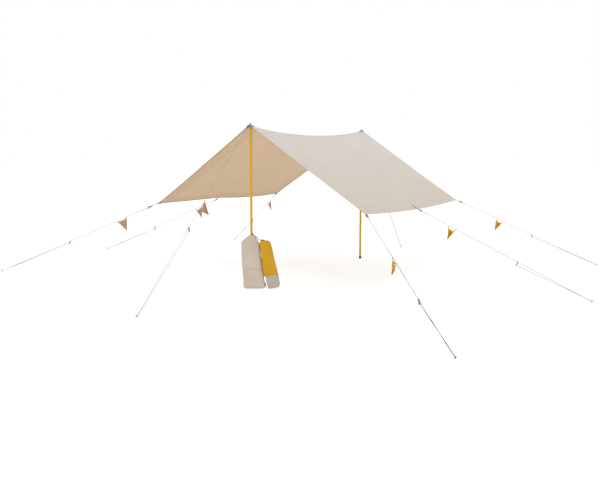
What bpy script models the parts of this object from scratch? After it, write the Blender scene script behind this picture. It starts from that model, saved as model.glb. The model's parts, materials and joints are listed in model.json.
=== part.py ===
"""Camping tarp: a ridge canopy on two poles, stretched by eight taut guy lines.

Metres, +Z up. The origin is on the ground under the front pole. +Y runs along the
ridge to the rear pole, and +X is to the right of someone who looks that way.
Pieces that touch keep a gap of 0.3 mm, and what stands in the ground ends at z = 0.
"""
import math

import bmesh
import bpy
from mathutils import Matrix, Vector

# Driving dimensions
GAP = 0.0003

POLE_SPAN = 3.05
POLE_RADIUS = 0.016
POLE_WALL = 0.0015
FOOT_RADIUS = 0.020
FOOT_HEIGHT = 0.038
FOOT_BASE = 0.008
TIP_PLUG_LENGTH = 0.030
TIP_COLLAR = 0.003
TIP_PIN_RADIUS = 0.004
TIP_PIN_TOP_Z = 2.116
PIN_CLEARANCE = 0.0004

CANOPY_THICKNESS = 0.003
RIDGE_END_Z = 2.092
RIDGE_SAG = 0.110
RIDGE_SAG_POWER = 0.8
RIDGE_OVERHANG = 0.030
CORNER_X = 1.640
CORNER_Z = 1.023
CORNER_INSET = 0.018
SLOPE_LENGTH = 1.955
PANEL_SAG = 0.022
EDGE_CURVE = 0.012
RIDGE_SEAM_HALF_WIDTH = 0.012
RIDGE_SEAM_THICKNESS = 0.0015
RIDGE_SLIT = 0.0025
EYELET_RADIUS = 0.007
# Straps lie a little further off, over the twist of the panels' faces.
STRAP_SEAT = 0.0009

CORD_RADIUS = 0.0025
STRAP_WIDTH = 0.025
STRAP_THICKNESS = 0.002
STRAP_ON_CANOPY = 0.10
PEAK_PATCH_HALF_WIDTH = 0.050
PEAK_PATCH_LENGTH = 0.110
PEAK_STRAP_LIFT = 0.0014
BUCKLE_LENGTH = 0.044
BUCKLE_WIDTH = 0.034
BUCKLE_HEIGHT = 0.007
CONNECTOR_LENGTH = 0.080
CONNECTOR_RADIUS = 0.0045

RUNNER_LENGTH = 0.066
RUNNER_WIDTH = 0.020
RUNNER_THICKNESS = 0.010
RUNNER_HOLE_SPACING = 0.045
RUNNER_HOLE_RADIUS = 0.0031
RUNNER_TRAVEL = 0.15
CORD_TAIL = 0.012

PENNANT_DROP = 0.010
PENNANT_HEIGHT = 0.172
PENNANT_THICKNESS = 0.002
TIE_LOOP_RADIUS = 0.0052
TIE_HOLE_RADIUS = 0.0031
TIE_TAPE_WIDTH = 0.005
TIE_HALF_THICKNESS = 0.0015
TIE_ON_CLOTH = 0.005
TIE_INSET = 0.006

PEG_RADIUS = 0.004
PEG_LINE_Z = 0.020
PEG_SHAFT = 0.045
PEG_NECK = 0.011
PEG_HOOK_RADIUS = 0.009
PEG_HOOK_END = 0.006
PEG_LEAN_LIMIT = math.radians(35.0)
PEG_CORD_GAP = 0.0005

BAG_TURN = math.radians(34.0)
BAG_SQUARENESS = 0.6
BAG_SIDES = 20
TOGGLE_RADIUS = 0.009
TOGGLE_LENGTH = 0.024

# Cutters reach well past what they cut.
CUTTER_DEPTH = 0.2
GROUND_CUTTER = (10.0, 10.0, 0.4)

LEFT, RIGHT = -1, 1

# Stands an outline that is drawn in XY across the X axis: its X becomes Y, its Y becomes Z.
ACROSS_THE_LINE = Matrix(((0, 0, 1, 0), (1, 0, 0, 0), (0, 1, 0, 0), (0, 0, 0, 1)))

# The grid lines of each panel: along the ridge as fractions of its length, with a
# short bay at each end under the peak patch, and down the slope.
END_BAY = 0.04
BAYS = 18
COLUMNS = [0.0] + [END_BAY + (1.0 - 2.0 * END_BAY) * i / BAYS for i in range(BAYS + 1)] + [1.0]
ROW_COUNT = 8
FIRST_ROW = RIDGE_SLIT / SLOPE_LENGTH
ROWS = [FIRST_ROW + (1.0 - FIRST_ROW) * i / ROW_COUNT for i in range(ROW_COUNT + 1)]

# How each eave leaves the straight line between its corners: how far the guy in the
# middle pulls it out and up, and how much its front and rear halves hang.
EAVES = {
    LEFT: {"out": 0.047, "lift": 0.007, "front_belly": 0.0, "rear_belly": 0.022},
    RIGHT: {"out": 0.016, "lift": -0.039, "front_belly": 0.008, "rear_belly": 0.008},
}

# One entry for each guy line: which side of the ridge it pulls on, how far back on
# that edge (0 at the front, 1 at the rear), where its cord passes the peg, the
# length of webbing before the buckle, how far down the line the runner is and how many
# degrees it leans from square, and how far down the line the middle of the pennant is,
# how wide its tapes hold it apart and how much its top edge sags between them.
GUYS = {
    "front_left": {"side": LEFT, "back": 0.0, "peg": (-3.794, -0.970),
                   "strap": 0.120, "runner": 1.41, "lean": 60.0,
                   "pennant": 0.570, "span": 0.155, "sag": 0.010},
    "left_middle": {"side": LEFT, "back": 0.5, "peg": (-4.338, 1.619),
                    "strap": 0.095, "runner": 1.562, "lean": 50.0,
                    "pennant": 0.510, "span": 0.145, "sag": 0.020},
    "rear_left": {"side": LEFT, "back": 1.0, "peg": (-3.242, 3.906),
                  "strap": 0.055, "runner": 1.125, "lean": 45.0,
                  "pennant": 0.338, "span": 0.140, "sag": 0.022},
    "front_right": {"side": RIGHT, "back": 0.0, "peg": (3.434, -1.825),
                    "strap": 0.035, "runner": 1.85, "lean": 55.0,
                    "pennant": 1.093, "span": 0.138, "sag": 0.034},
    "right_middle": {"side": RIGHT, "back": 0.5, "peg": (3.955, 1.274),
                     "strap": 0.030, "runner": 1.522, "lean": 10.0,
                     "pennant": 0.555, "span": 0.118, "sag": 0.034},
    "rear_right": {"side": RIGHT, "back": 1.0, "peg": (3.468, 4.247),
                   "strap": 0.060, "runner": 1.274, "lean": 55.0,
                   "pennant": 0.738, "span": 0.122, "sag": 0.030},
    "front_peak": {"side": 0, "back": 0.0, "peg": (0.014, -2.105),
                   "strap": 0.030, "runner": 1.702, "lean": 35.0,
                   "pennant": 1.360, "span": 0.150, "sag": 0.014},
    "rear_peak": {"side": 0, "back": 1.0, "peg": (0.032, 4.622),
                  "strap": 0.030, "runner": 1.55, "lean": 45.0,
                  "pennant": 1.150, "span": 0.145, "sag": 0.020},
}
# Where a webbing strip has its rows of points: back from the edge on a slope and on
# the ridge, then past the edge, where it lifts to the line.
SLOPE_STRAP_ROWS = (STRAP_ON_CANOPY, STRAP_ON_CANOPY / 2.0, 0.004)
PEAK_STRAP_ROWS = (0.060, 0.001)
STRAP_FREE_START = 0.012
# Slopes are read this far inside the canopy's edges.
EDGE_MARGIN = 0.002

# Bag sections from the ground up: height, half width, half depth, and how far the
# middle lies to the right of the front pole and in front of it.
TARP_BAG_SECTIONS = [
    (0.000, 0.125, 0.045, 0.038, 0.0700),
    (0.020, 0.143, 0.056, 0.036, 0.0775),
    (0.100, 0.137, 0.060, 0.030, 0.0767),
    (0.300, 0.130, 0.061, 0.009, 0.0777),
    (0.480, 0.123, 0.058, -0.006, 0.0747),
    (0.560, 0.1185, 0.050, -0.0105, 0.0670),
    (0.594, 0.1150, 0.044, -0.0150, 0.0610),
    (0.620, 0.0955, 0.038, -0.0155, 0.0550),
    (0.640, 0.0760, 0.032, -0.0090, 0.0490),
    (0.660, 0.0590, 0.026, -0.0010, 0.0430),
    (0.676, 0.0430, 0.022, 0.0080, 0.0390),
    (0.684, 0.0300, 0.018, 0.0160, 0.0370),
]
# The pole bag's are measured along the bag and from its own middle line, which leans.
POLE_BAG_BASE_SECTIONS = [
    (0.000, 0.062, 0.040, 0.0, 0.105),
    (0.020, 0.074, 0.050, 0.0, 0.105),
    (0.170, 0.076, 0.052, 0.0, 0.105),
]
POLE_BAG_BODY_SECTIONS = [
    (0.1703, 0.076, 0.052, 0.0, 0.105),
    (0.420, 0.075, 0.051, 0.0, 0.105),
    (0.565, 0.074, 0.048, 0.0, 0.104),
    (0.598, 0.066, 0.040, -0.002, 0.102),
    (0.616, 0.046, 0.026, -0.010, 0.101),
    (0.622, 0.024, 0.014, -0.026, 0.100),
]
POLE_BAG_RIGHT = 0.2867
POLE_BAG_LEAN = math.radians(11.1)


# Scene and material helpers
def clear_scene():
    for obj in list(bpy.data.objects):
        bpy.data.objects.remove(obj, do_unlink=True)


def new_collection(name):
    collection = bpy.data.collections.new(name)
    bpy.context.scene.collection.children.link(collection)
    return collection


def principled(name, colour, roughness, metallic=0.0):
    material = bpy.data.materials.new(name)
    material.use_nodes = True
    shader = material.node_tree.nodes["Principled BSDF"]
    shader.inputs["Base Color"].default_value = (*colour, 1.0)
    shader.inputs["Roughness"].default_value = roughness
    shader.inputs["Metallic"].default_value = metallic
    material.diffuse_color = (*colour, 1.0)
    return material


def add_mesh_object(name, mesh, collection, material=None):
    obj = bpy.data.objects.new(name, mesh)
    collection.objects.link(obj)
    if material is not None and not mesh.materials:
        mesh.materials.append(material)
    return obj


def round_shading(mesh, angle=math.radians(35.0)):
    mesh.shade_smooth()
    mesh.set_sharp_from_angle(angle=angle)


def mesh_from_curve(curve_object):
    """Replace a curve object by a mesh object of the same shape, with its caps welded on."""
    depsgraph = bpy.context.evaluated_depsgraph_get()
    mesh = bpy.data.meshes.new_from_object(curve_object.evaluated_get(depsgraph))
    welded = bmesh.new()
    welded.from_mesh(mesh)
    bmesh.ops.remove_doubles(welded, verts=welded.verts, dist=0.00001)
    bmesh.ops.recalc_face_normals(welded, faces=welded.faces)
    welded.to_mesh(mesh)
    welded.free()
    obj = bpy.data.objects.new(curve_object.name + "_mesh", mesh)
    curve_object.users_collection[0].objects.link(obj)
    obj.matrix_world = curve_object.matrix_world
    bpy.data.objects.remove(curve_object, do_unlink=True)
    return obj


def add_boolean(obj, other, operation):
    modifier = obj.modifiers.new(operation.title(), "BOOLEAN")
    modifier.operation = operation
    modifier.solver = "EXACT"
    modifier.object = other
    return modifier


def hide_tool(obj, collection):
    """Keep a cutter, or a piece that a Boolean joins to another, out of the model."""
    for owner in list(obj.users_collection):
        owner.objects.unlink(obj)
    collection.objects.link(obj)
    obj.hide_render = True
    obj.display_type = "WIRE"


def flat_outline(name, outlines, half_thickness, collection):
    """A flat solid in the XY plane: the first outline is its edge, the others are holes."""
    curve = bpy.data.curves.new(name, "CURVE")
    curve.dimensions = "2D"
    curve.fill_mode = "BOTH"
    curve.extrude = half_thickness
    for outline in outlines:
        spline = curve.splines.new("POLY")
        spline.points.add(len(outline) - 1)
        for point, (x, y) in zip(spline.points, outline):
            point.co = (x, y, 0.0, 1.0)
        spline.use_cyclic_u = True
    obj = bpy.data.objects.new(name, curve)
    collection.objects.link(obj)
    return obj


def round_wire(name, points, radius, collection, bevel_resolution=2):
    curve = bpy.data.curves.new(name, "CURVE")
    curve.dimensions = "3D"
    curve.bevel_depth = radius
    curve.bevel_resolution = bevel_resolution
    curve.use_fill_caps = True
    spline = curve.splines.new("POLY")
    spline.points.add(len(points) - 1)
    for point, co in zip(spline.points, points):
        point.co = (*co, 1.0)
    obj = bpy.data.objects.new(name, curve)
    collection.objects.link(obj)
    return obj


def turned(name, profile, collection, material, steps=24):
    """A solid of revolution about Z. The profile runs down its outer side, at +X."""
    mesh = bpy.data.meshes.new(name)
    edges = [(i, (i + 1) % len(profile)) for i in range(len(profile))]
    on_axis = profile[0][0] == 0.0 and profile[-1][0] == 0.0
    if on_axis:
        edges.pop()
    mesh.from_pydata([(radius, 0.0, z) for radius, z in profile], edges, [])
    obj = add_mesh_object(name, mesh, collection, material)
    screw = obj.modifiers.new("Screw", "SCREW")
    screw.axis = "Z"
    screw.steps = steps
    screw.render_steps = steps
    screw.use_merge_vertices = True
    screw.merge_threshold = 0.00001
    return obj


def arc(centre_x, centre_y, radius, start, end, count):
    """Points on a circle from one angle to another, both in degrees."""
    points = []
    for i in range(count):
        angle = math.radians(start + (end - start) * i / (count - 1))
        points.append((centre_x + radius * math.cos(angle), centre_y + radius * math.sin(angle)))
    return points


def circle(centre_x, centre_y, radius, count):
    return arc(centre_x, centre_y, radius, 0.0, 360.0 * (count - 1) / count, count)


# Canopy surface
def half_bump(t):
    """0 at both ends and 1 in the middle of 0 to 1."""
    return max(0.0, 4.0 * t * (1.0 - t))


def ridge_curve(t):
    y = -RIDGE_OVERHANG + t * (POLE_SPAN + 2.0 * RIDGE_OVERHANG)
    z = RIDGE_END_Z - RIDGE_SAG * half_bump(t) ** RIDGE_SAG_POWER
    return Vector((0.0, y, z))


def eave_curve(side, t):
    eave = EAVES[side]
    towards_middle = 1.0 - abs(2.0 * t - 1.0)
    belly = eave["front_belly"] if t < 0.5 else eave["rear_belly"]
    x = side * (CORNER_X + eave["out"] * towards_middle)
    y = CORNER_INSET + t * (POLE_SPAN - 2.0 * CORNER_INSET)
    z = CORNER_Z + eave["lift"] * towards_middle - belly * half_bump(towards_middle)
    return Vector((x, y, z))


def canopy_curve(side, t, s):
    """The smooth top of the canopy, t from front to rear and s from ridge to eave."""
    point = ridge_curve(t).lerp(eave_curve(side, t), s)
    belly = half_bump(s)
    point.z -= PANEL_SAG * belly * (0.25 + 0.75 * half_bump(t))
    point.y += EDGE_CURVE * belly * (1.0 - 2.0 * t)
    return point


def cell(lines, value):
    """The two grid lines on either side of a value, and how far it lies between them."""
    index = 0
    while index < len(lines) - 2 and value > lines[index + 1]:
        index += 1
    low, high = lines[index], lines[index + 1]
    return low, high, (value - low) / (high - low)


def canopy_point(side, t, s):
    """A point on top of a panel as it is built, flat between its grid lines."""
    t0, t1, across = cell(COLUMNS, t)
    s0, s1, down = cell(ROWS, s)
    near = canopy_curve(side, t0, s0).lerp(canopy_curve(side, t0, s1), down)
    far = canopy_curve(side, t1, s0).lerp(canopy_curve(side, t1, s1), down)
    return near.lerp(far, across)


def ridge_point(t):
    t0, t1, across = cell(COLUMNS, t)
    return ridge_curve(t0).lerp(ridge_curve(t1), across)


def eave_point(side, t):
    return canopy_point(side, t, 1.0)


def inside(t):
    return min(max(t, EDGE_MARGIN), 1.0 - EDGE_MARGIN)


def canopy_normal(side, t, s):
    step = 0.001
    along = canopy_point(side, t + step, s) - canopy_point(side, t - step, s)
    down = canopy_point(side, t, s + step) - canopy_point(side, t, s - step)
    normal = along.cross(down) if side == LEFT else down.cross(along)
    return normal.normalized()


def above_canopy(side, along, down, height):
    """A point over the canopy, by metres from its front edge and from its ridge."""
    t = along / POLE_SPAN
    s = down / SLOPE_LENGTH
    return canopy_point(side, t, s) + height * canopy_normal(side, inside(t), s)


# Canopy pieces
def make_roof_panel(name, side, collection, material, eyelet_cutters):
    sheet = bmesh.new()
    bmesh.ops.create_grid(sheet, x_segments=len(COLUMNS) - 1, y_segments=ROW_COUNT, size=0.5)
    for vertex in sheet.verts:
        t = COLUMNS[round((vertex.co.x + 0.5) * (len(COLUMNS) - 1))]
        s = ROWS[round((vertex.co.y + 0.5) * ROW_COUNT)]
        vertex.co = canopy_curve(side, t, s)
    bmesh.ops.recalc_face_normals(sheet, faces=sheet.faces)
    if sum(face.normal.z for face in sheet.faces) < 0.0:
        bmesh.ops.reverse_faces(sheet, faces=sheet.faces)
    mesh = bpy.data.meshes.new(name)
    sheet.to_mesh(mesh)
    sheet.free()
    mesh.shade_smooth()
    obj = add_mesh_object(name, mesh, collection, material)
    solidify = obj.modifiers.new("Solidify", "SOLIDIFY")
    solidify.thickness = CANOPY_THICKNESS
    solidify.offset = -1.0
    for cutter in eyelet_cutters:
        add_boolean(obj, cutter, "DIFFERENCE")
    return obj


def saddle_strip(name, stations, half_width, seat, thickness, collection):
    """A strip of tape that lies over the ridge between two stations, folded along it."""
    strip = bmesh.new()
    bmesh.ops.create_grid(strip, x_segments=len(stations) - 1, y_segments=2, size=0.5)
    for vertex in strip.verts:
        t = stations[round((vertex.co.x + 0.5) * (len(stations) - 1))]
        if abs(vertex.co.y) < 0.001:
            vertex.co = ridge_point(t) + Vector((0.0, 0.0, 1.2 * seat))
        else:
            side = RIGHT if vertex.co.y > 0.0 else LEFT
            vertex.co = above_canopy(side, t * POLE_SPAN, half_width, seat)
    bmesh.ops.recalc_face_normals(strip, faces=strip.faces)
    if sum(face.normal.z for face in strip.faces) < 0.0:
        bmesh.ops.reverse_faces(strip, faces=strip.faces)
    mesh = bpy.data.meshes.new(name)
    strip.to_mesh(mesh)
    strip.free()
    obj = add_mesh_object(name, mesh, collection)
    solidify = obj.modifiers.new("Solidify", "SOLIDIFY")
    solidify.thickness = thickness
    solidify.offset = 1.0
    return obj


def make_ridge_seam(collection, material):
    obj = saddle_strip("ridge_seam", COLUMNS[1:-1], RIDGE_SEAM_HALF_WIDTH, GAP,
                       RIDGE_SEAM_THICKNESS, collection)
    obj.data.materials.append(material)


# Poles
def pole_top_z():
    """The height at which a flat pole end meets the underside of both slopes."""
    down = POLE_RADIUS / math.cos(math.atan2(RIDGE_END_Z - CORNER_Z, CORNER_X))
    under = above_canopy(RIGHT, RIDGE_OVERHANG, down, -CANOPY_THICKNESS)
    return under.z - 3.0 * GAP


def make_pole(place, y, collection, materials):
    top = pole_top_z()
    inner = POLE_RADIUS - POLE_WALL
    tube_top = top - TIP_COLLAR - GAP
    tube_bottom = FOOT_BASE + GAP
    tube = turned(f"{place}_pole", [
        (inner, tube_top), (POLE_RADIUS, tube_top), (POLE_RADIUS, tube_bottom), (inner, tube_bottom),
    ], collection, materials["pole"])
    socket = POLE_RADIUS + GAP
    foot = turned(f"{place}_pole_foot", [
        (0.0, FOOT_BASE), (socket, FOOT_BASE), (socket, FOOT_HEIGHT),
        (FOOT_RADIUS - 0.001, FOOT_HEIGHT), (FOOT_RADIUS, FOOT_HEIGHT - 0.003),
        (FOOT_RADIUS, 0.002), (FOOT_RADIUS - 0.002, 0.0), (0.0, 0.0),
    ], collection, materials["rubber"])
    plug = inner - GAP
    pin = TIP_PIN_RADIUS
    tip = turned(f"{place}_pole_tip", [
        (0.0, TIP_PIN_TOP_Z), (pin * 0.6, TIP_PIN_TOP_Z - 0.0005), (pin, TIP_PIN_TOP_Z - 0.003),
        (pin, top), (POLE_RADIUS - 0.001, top), (POLE_RADIUS, top - 0.001),
        (POLE_RADIUS, top - TIP_COLLAR), (plug, top - TIP_COLLAR),
        (plug, top - TIP_COLLAR - TIP_PLUG_LENGTH), (0.0, top - TIP_COLLAR - TIP_PLUG_LENGTH),
    ], collection, materials["steel"])
    for piece in (tube, foot, tip):
        piece.location.y = y


# Guy lines
def attachment(guy):
    """Where a guy's strap leaves the canopy, half a strap's thickness over it."""
    height = STRAP_SEAT + STRAP_THICKNESS / 2.0
    if guy["side"] == 0:
        end = ridge_point(guy["back"])
        outward = 1.0 if guy["back"] == 1.0 else -1.0
        return end + Vector((0.0, outward * 0.004, PEAK_STRAP_LIFT + STRAP_THICKNESS / 2.0))
    normal = canopy_normal(guy["side"], inside(guy["back"]), 1.0)
    return eave_point(guy["side"], guy["back"]) + height * normal


def line_frame(guy):
    """The guy's own axes: X runs down the line, Y is level and Z is up from the line."""
    start = attachment(guy)
    end = Vector((*guy["peg"], PEG_LINE_Z))
    down_line = (end - start).normalized()
    level = Vector((0.0, 0.0, 1.0)).cross(down_line).normalized()
    up = down_line.cross(level)
    frame = Matrix((down_line, level, up)).transposed().to_4x4()
    frame.translation = start
    return frame, (end - start).length


def peg_lean(frame):
    """How far a peg leans away from the canopy: square to its line, up to a limit."""
    slope = math.asin(-frame.col[0].z)
    return min(slope, PEG_LEAN_LIMIT), slope


def turn_radius(frame):
    """The cord's bend round its peg, clear of the leaning shaft's wider section."""
    lean, slope = peg_lean(frame)
    return CORD_RADIUS + PEG_CORD_GAP + PEG_RADIUS / math.cos(slope - lean)


def cord_start(guy):
    return guy["strap"] + BUCKLE_LENGTH + CONNECTOR_LENGTH + GAP


def second_hole(guy):
    """Where the runner's other hole is in the line's frame: how far along and below."""
    lean = math.radians(guy["lean"])
    return guy["runner"] + RUNNER_HOLE_SPACING * math.sin(lean), RUNNER_HOLE_SPACING * math.cos(lean)


def runner_reach(guy):
    """The leaning runner's half thickness, measured along its line."""
    return RUNNER_THICKNESS / 2.0 / math.cos(math.radians(guy["lean"]))


def make_guy_cord(name, guy, frame, length, collection, material):
    """One taut cord: down to the peg, round it, and back up to the runner's lower hole."""
    bend = turn_radius(frame)
    turn_points = 9
    points = [(cord_start(guy), 0.0, 0.0)]
    for i in range(turn_points):
        angle = math.pi * i / (turn_points - 1)
        points.append((length + bend * math.sin(angle), bend - bend * math.cos(angle), 0.0))
    hole, drop = second_hole(guy)
    reach = runner_reach(guy)
    points.append((hole + RUNNER_TRAVEL + 2.0 * reach, 0.0, -drop))
    points.append((hole - reach - CORD_TAIL, 0.0, -drop))
    cord = round_wire(name, points, CORD_RADIUS, collection)
    cord.data.materials.append(material)
    cord.matrix_world = frame


def strap_rows(guy, frame):
    """Pairs of left and right edge points along a strap's underside."""
    half = STRAP_WIDTH / 2.0
    rows = []
    side = guy["side"]
    along_line = frame.col[0].to_3d()
    across = frame.col[1].to_3d()
    up = frame.col[2].to_3d()
    if side == 0:
        for back in PEAK_STRAP_ROWS:
            t = abs(guy["back"] - back / POLE_SPAN)
            point = ridge_point(t) + Vector((0.0, 0.0, PEAK_STRAP_LIFT))
            rows.append((point - half * across, point + half * across))
    else:
        corner_along = guy["back"] * POLE_SPAN
        corner_down = SLOPE_LENGTH
        edge_t = inside(guy["back"])
        step = 0.001
        down_axis = (eave_point(side, edge_t) - canopy_point(side, edge_t, 0.9)).normalized()
        along_axis = (canopy_point(side, edge_t + step, 1.0)
                      - canopy_point(side, edge_t - step, 1.0)).normalized()
        heading = Vector((along_line.dot(along_axis), along_line.dot(down_axis))).normalized()
        beside = Vector((-heading.y, heading.x))
        if beside.x * across.dot(along_axis) + beside.y * across.dot(down_axis) < 0.0:
            beside = -beside
        for back in SLOPE_STRAP_ROWS:
            row = []
            for sign in (-1.0, 1.0):
                along = corner_along - heading.x * back + beside.x * sign * half
                down = corner_down - heading.y * back + beside.y * sign * half
                row.append(above_canopy(side, along, down, STRAP_SEAT))
            rows.append(tuple(row))
    for distance in (STRAP_FREE_START, guy["strap"] + STRAP_FREE_START):
        point = frame.translation + along_line * distance - up * STRAP_THICKNESS / 2.0
        rows.append((point - half * across, point + half * across))
    return rows


def make_strap(name, guy, frame, collection, tools, material):
    """The webbing on the canopy, its buckle and the sleeve that holds the cord's end."""
    rows = strap_rows(guy, frame)
    ribbon = bmesh.new()
    bmesh.ops.create_grid(ribbon, x_segments=len(rows) - 1, y_segments=1, size=0.5)
    for vertex in ribbon.verts:
        row = round((vertex.co.x + 0.5) * (len(rows) - 1))
        vertex.co = rows[row][0 if vertex.co.y < 0.0 else 1]
    ribbon.normal_update()
    if sum(face.normal.z for face in ribbon.faces) < 0.0:
        bmesh.ops.reverse_faces(ribbon, faces=ribbon.faces)
    mesh = bpy.data.meshes.new(name)
    ribbon.to_mesh(mesh)
    ribbon.free()
    strap = add_mesh_object(name, mesh, collection, material)
    solidify = strap.modifiers.new("Solidify", "SOLIDIFY")
    solidify.thickness = STRAP_THICKNESS
    solidify.offset = 1.0

    if guy["side"] == 0:
        stations = [0.001, PEAK_PATCH_LENGTH / POLE_SPAN]
        if guy["back"] == 1.0:
            stations = [1.0 - t for t in reversed(stations)]
        patch = saddle_strip(name + "_patch", stations, PEAK_PATCH_HALF_WIDTH, STRAP_SEAT,
                             STRAP_THICKNESS, collection)
        hide_tool(patch, tools)
        add_boolean(strap, patch, "UNION")

    bpy.ops.mesh.primitive_cube_add(size=1.0)
    buckle = bpy.context.object
    buckle.name = name + "_buckle"
    buckle.data.transform(Matrix.Diagonal((BUCKLE_LENGTH, BUCKLE_WIDTH, BUCKLE_HEIGHT, 1.0)))
    buckle.matrix_world = frame @ Matrix.Translation((guy["strap"] + BUCKLE_LENGTH / 2.0, 0.0, 0.0))
    hide_tool(buckle, tools)
    add_boolean(strap, buckle, "UNION")

    sleeve_start = guy["strap"] + BUCKLE_LENGTH - 0.004
    sleeve_end = guy["strap"] + BUCKLE_LENGTH + CONNECTOR_LENGTH
    bpy.ops.mesh.primitive_cylinder_add(vertices=12, radius=CONNECTOR_RADIUS,
                                        depth=sleeve_end - sleeve_start)
    sleeve = bpy.context.object
    sleeve.name = name + "_sleeve"
    sleeve.data.transform(Matrix.Rotation(math.pi / 2.0, 4, "Y"))
    sleeve.matrix_world = frame @ Matrix.Translation(((sleeve_start + sleeve_end) / 2.0, 0.0, 0.0))
    hide_tool(sleeve, tools)
    add_boolean(strap, sleeve, "UNION")
    return strap


def make_runner(name, guy, collection, material):
    """A flat wooden bar that leans along its line, with two cord holes drilled along it.

    The line's own hole is at the origin and the other is below it. The outline is what
    shows along the line, so it is as much shorter as the bar leans.
    """
    lean = math.radians(guy["lean"])
    shortened = math.cos(lean)
    end_radius = RUNNER_WIDTH / 2.0
    margin = (RUNNER_LENGTH - RUNNER_HOLE_SPACING) / 2.0
    top = margin - end_radius
    bottom = -RUNNER_HOLE_SPACING - margin + end_radius
    ends = arc(0.0, top, end_radius, 0.0, 180.0, 9) + arc(0.0, bottom, end_radius, 180.0, 360.0, 9)
    outline = [(x, y * shortened) for x, y in ends]
    hole_heights = (0.0, -RUNNER_HOLE_SPACING * shortened)
    holes = [circle(0.0, height, RUNNER_HOLE_RADIUS, 12) for height in hole_heights]
    form = mesh_from_curve(flat_outline(f"{name}_form", [outline, *holes], runner_reach(guy),
                                        collection))
    mesh = form.data
    bpy.data.objects.remove(form, do_unlink=True)
    # The outline was drawn in XY. Stand it across the line, then lean it down the line.
    mesh.transform(ACROSS_THE_LINE)
    for vertex in mesh.vertices:
        vertex.co.x -= vertex.co.z * math.tan(lean)
    round_shading(mesh)
    mesh.materials.clear()
    return add_mesh_object(name, mesh, collection, material)


def pennant_mesh(guy, collection, tools):
    """A cloth triangle that hangs by two tape loops round its line, the local X axis."""
    span = guy["span"]
    half = span / 2.0
    steps = 8
    outline = []
    for i in range(steps + 1):
        u = i / steps
        outline.append((half - span * u, -PENNANT_DROP - guy["sag"] * half_bump(u)))
    outline.append((0.0, -PENNANT_DROP - PENNANT_HEIGHT))
    cloth = mesh_from_curve(flat_outline("pennant_form", [outline], PENNANT_THICKNESS / 2.0, collection))
    cloth.data.transform(Matrix.Rotation(math.pi / 2.0, 4, "X"))
    loops = []
    tail = TIE_HALF_THICKNESS
    tail_end = -PENNANT_DROP - TIE_ON_CLOTH
    opening = math.degrees(math.asin(tail / TIE_LOOP_RADIUS))
    for x in (-half + TIE_INSET, half - TIE_INSET):
        ring = arc(0.0, 0.0, TIE_LOOP_RADIUS, -90.0 + opening, 270.0 - opening, 13)
        edge = ring + [(-tail, tail_end), (tail, tail_end)]
        hole = circle(0.0, 0.0, TIE_HOLE_RADIUS, 12)
        loop = mesh_from_curve(flat_outline("tie_form", [edge, hole], TIE_TAPE_WIDTH / 2.0, collection))
        loop.data.transform(ACROSS_THE_LINE)
        loop.data.transform(Matrix.Translation((x, 0.0, 0.0)))
        hide_tool(loop, tools)
        add_boolean(cloth, loop, "UNION")
        loops.append(loop)
    depsgraph = bpy.context.evaluated_depsgraph_get()
    mesh = bpy.data.meshes.new_from_object(cloth.evaluated_get(depsgraph))
    for obj in (cloth, *loops):
        bpy.data.objects.remove(obj, do_unlink=True)
    return mesh


def make_peg(name, frame, length, collection, ground, material):
    """A steel peg with a hooked head, leaning away from the canopy and cut off at the ground."""
    lean, _ = peg_lean(frame)
    heading = frame.col[0].to_3d()
    outward = Vector((heading.x, heading.y, 0.0)).normalized()
    shaft = math.sin(lean) * outward + math.cos(lean) * Vector((0.0, 0.0, 1.0))
    beside = shaft.cross(outward).normalized()
    outward = beside.cross(shaft)
    place = Matrix((outward, beside, shaft)).transposed().to_4x4()
    place.translation = frame @ Vector((length, turn_radius(frame), 0.0))
    points = [(0.0, 0.0, -PEG_SHAFT), (0.0, 0.0, PEG_NECK)]
    for x, z in arc(PEG_HOOK_RADIUS, PEG_NECK, PEG_HOOK_RADIUS, 155.0, 5.0, 7):
        points.append((x, 0.0, z))
    points.append((2.0 * PEG_HOOK_RADIUS, 0.0, PEG_NECK - PEG_HOOK_END))
    wire = round_wire(name + "_wire", points, PEG_RADIUS, collection)
    wire.matrix_world = place
    bpy.context.view_layer.update()
    peg = mesh_from_curve(wire)
    peg.name = name
    peg.data.materials.clear()
    peg.data.materials.append(material)
    round_shading(peg.data)
    add_boolean(peg, ground, "DIFFERENCE")


# Bags
def bag_section(bm, section):
    """Vertices of one level section, a rounded rectangle drawn as a superellipse."""
    height, half_width, half_depth, right, front = section
    ring = []
    for i in range(BAG_SIDES):
        angle = 2.0 * math.pi * i / BAG_SIDES
        c, s = math.cos(angle), math.sin(angle)
        x = right + half_width * math.copysign(abs(c) ** BAG_SQUARENESS, c)
        y = -front + half_depth * math.copysign(abs(s) ** BAG_SQUARENESS, s)
        ring.append(bm.verts.new((x, y, height)))
    return ring


def bag_place(right=0.0, lean=0.0, bottom_half_width=0.0):
    """Where a bag stands. One that leans to the left has its lower left edge on the ground."""
    lift = bottom_half_width * math.sin(lean)
    return (Matrix.Rotation(BAG_TURN, 4, "Z") @ Matrix.Translation((right, 0.0, lift))
            @ Matrix.Rotation(-lean, 4, "Y"))


def make_bag(name, sections, place, collection, material):
    """A soft bag: a loft through its sections, closed at the bottom and at the top."""
    bm = bmesh.new()
    rings = [bag_section(bm, section) for section in sections]
    bm.faces.new(reversed(rings[0]))
    bm.faces.new(rings[-1])
    for lower, upper in zip(rings, rings[1:]):
        for i in range(BAG_SIDES):
            j = (i + 1) % BAG_SIDES
            bm.faces.new((lower[i], lower[j], upper[j], upper[i]))
    mesh = bpy.data.meshes.new(name)
    bm.to_mesh(mesh)
    bm.free()
    round_shading(mesh, math.radians(50.0))
    obj = add_mesh_object(name, mesh, collection, material)
    obj.matrix_world = place
    return obj


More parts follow.
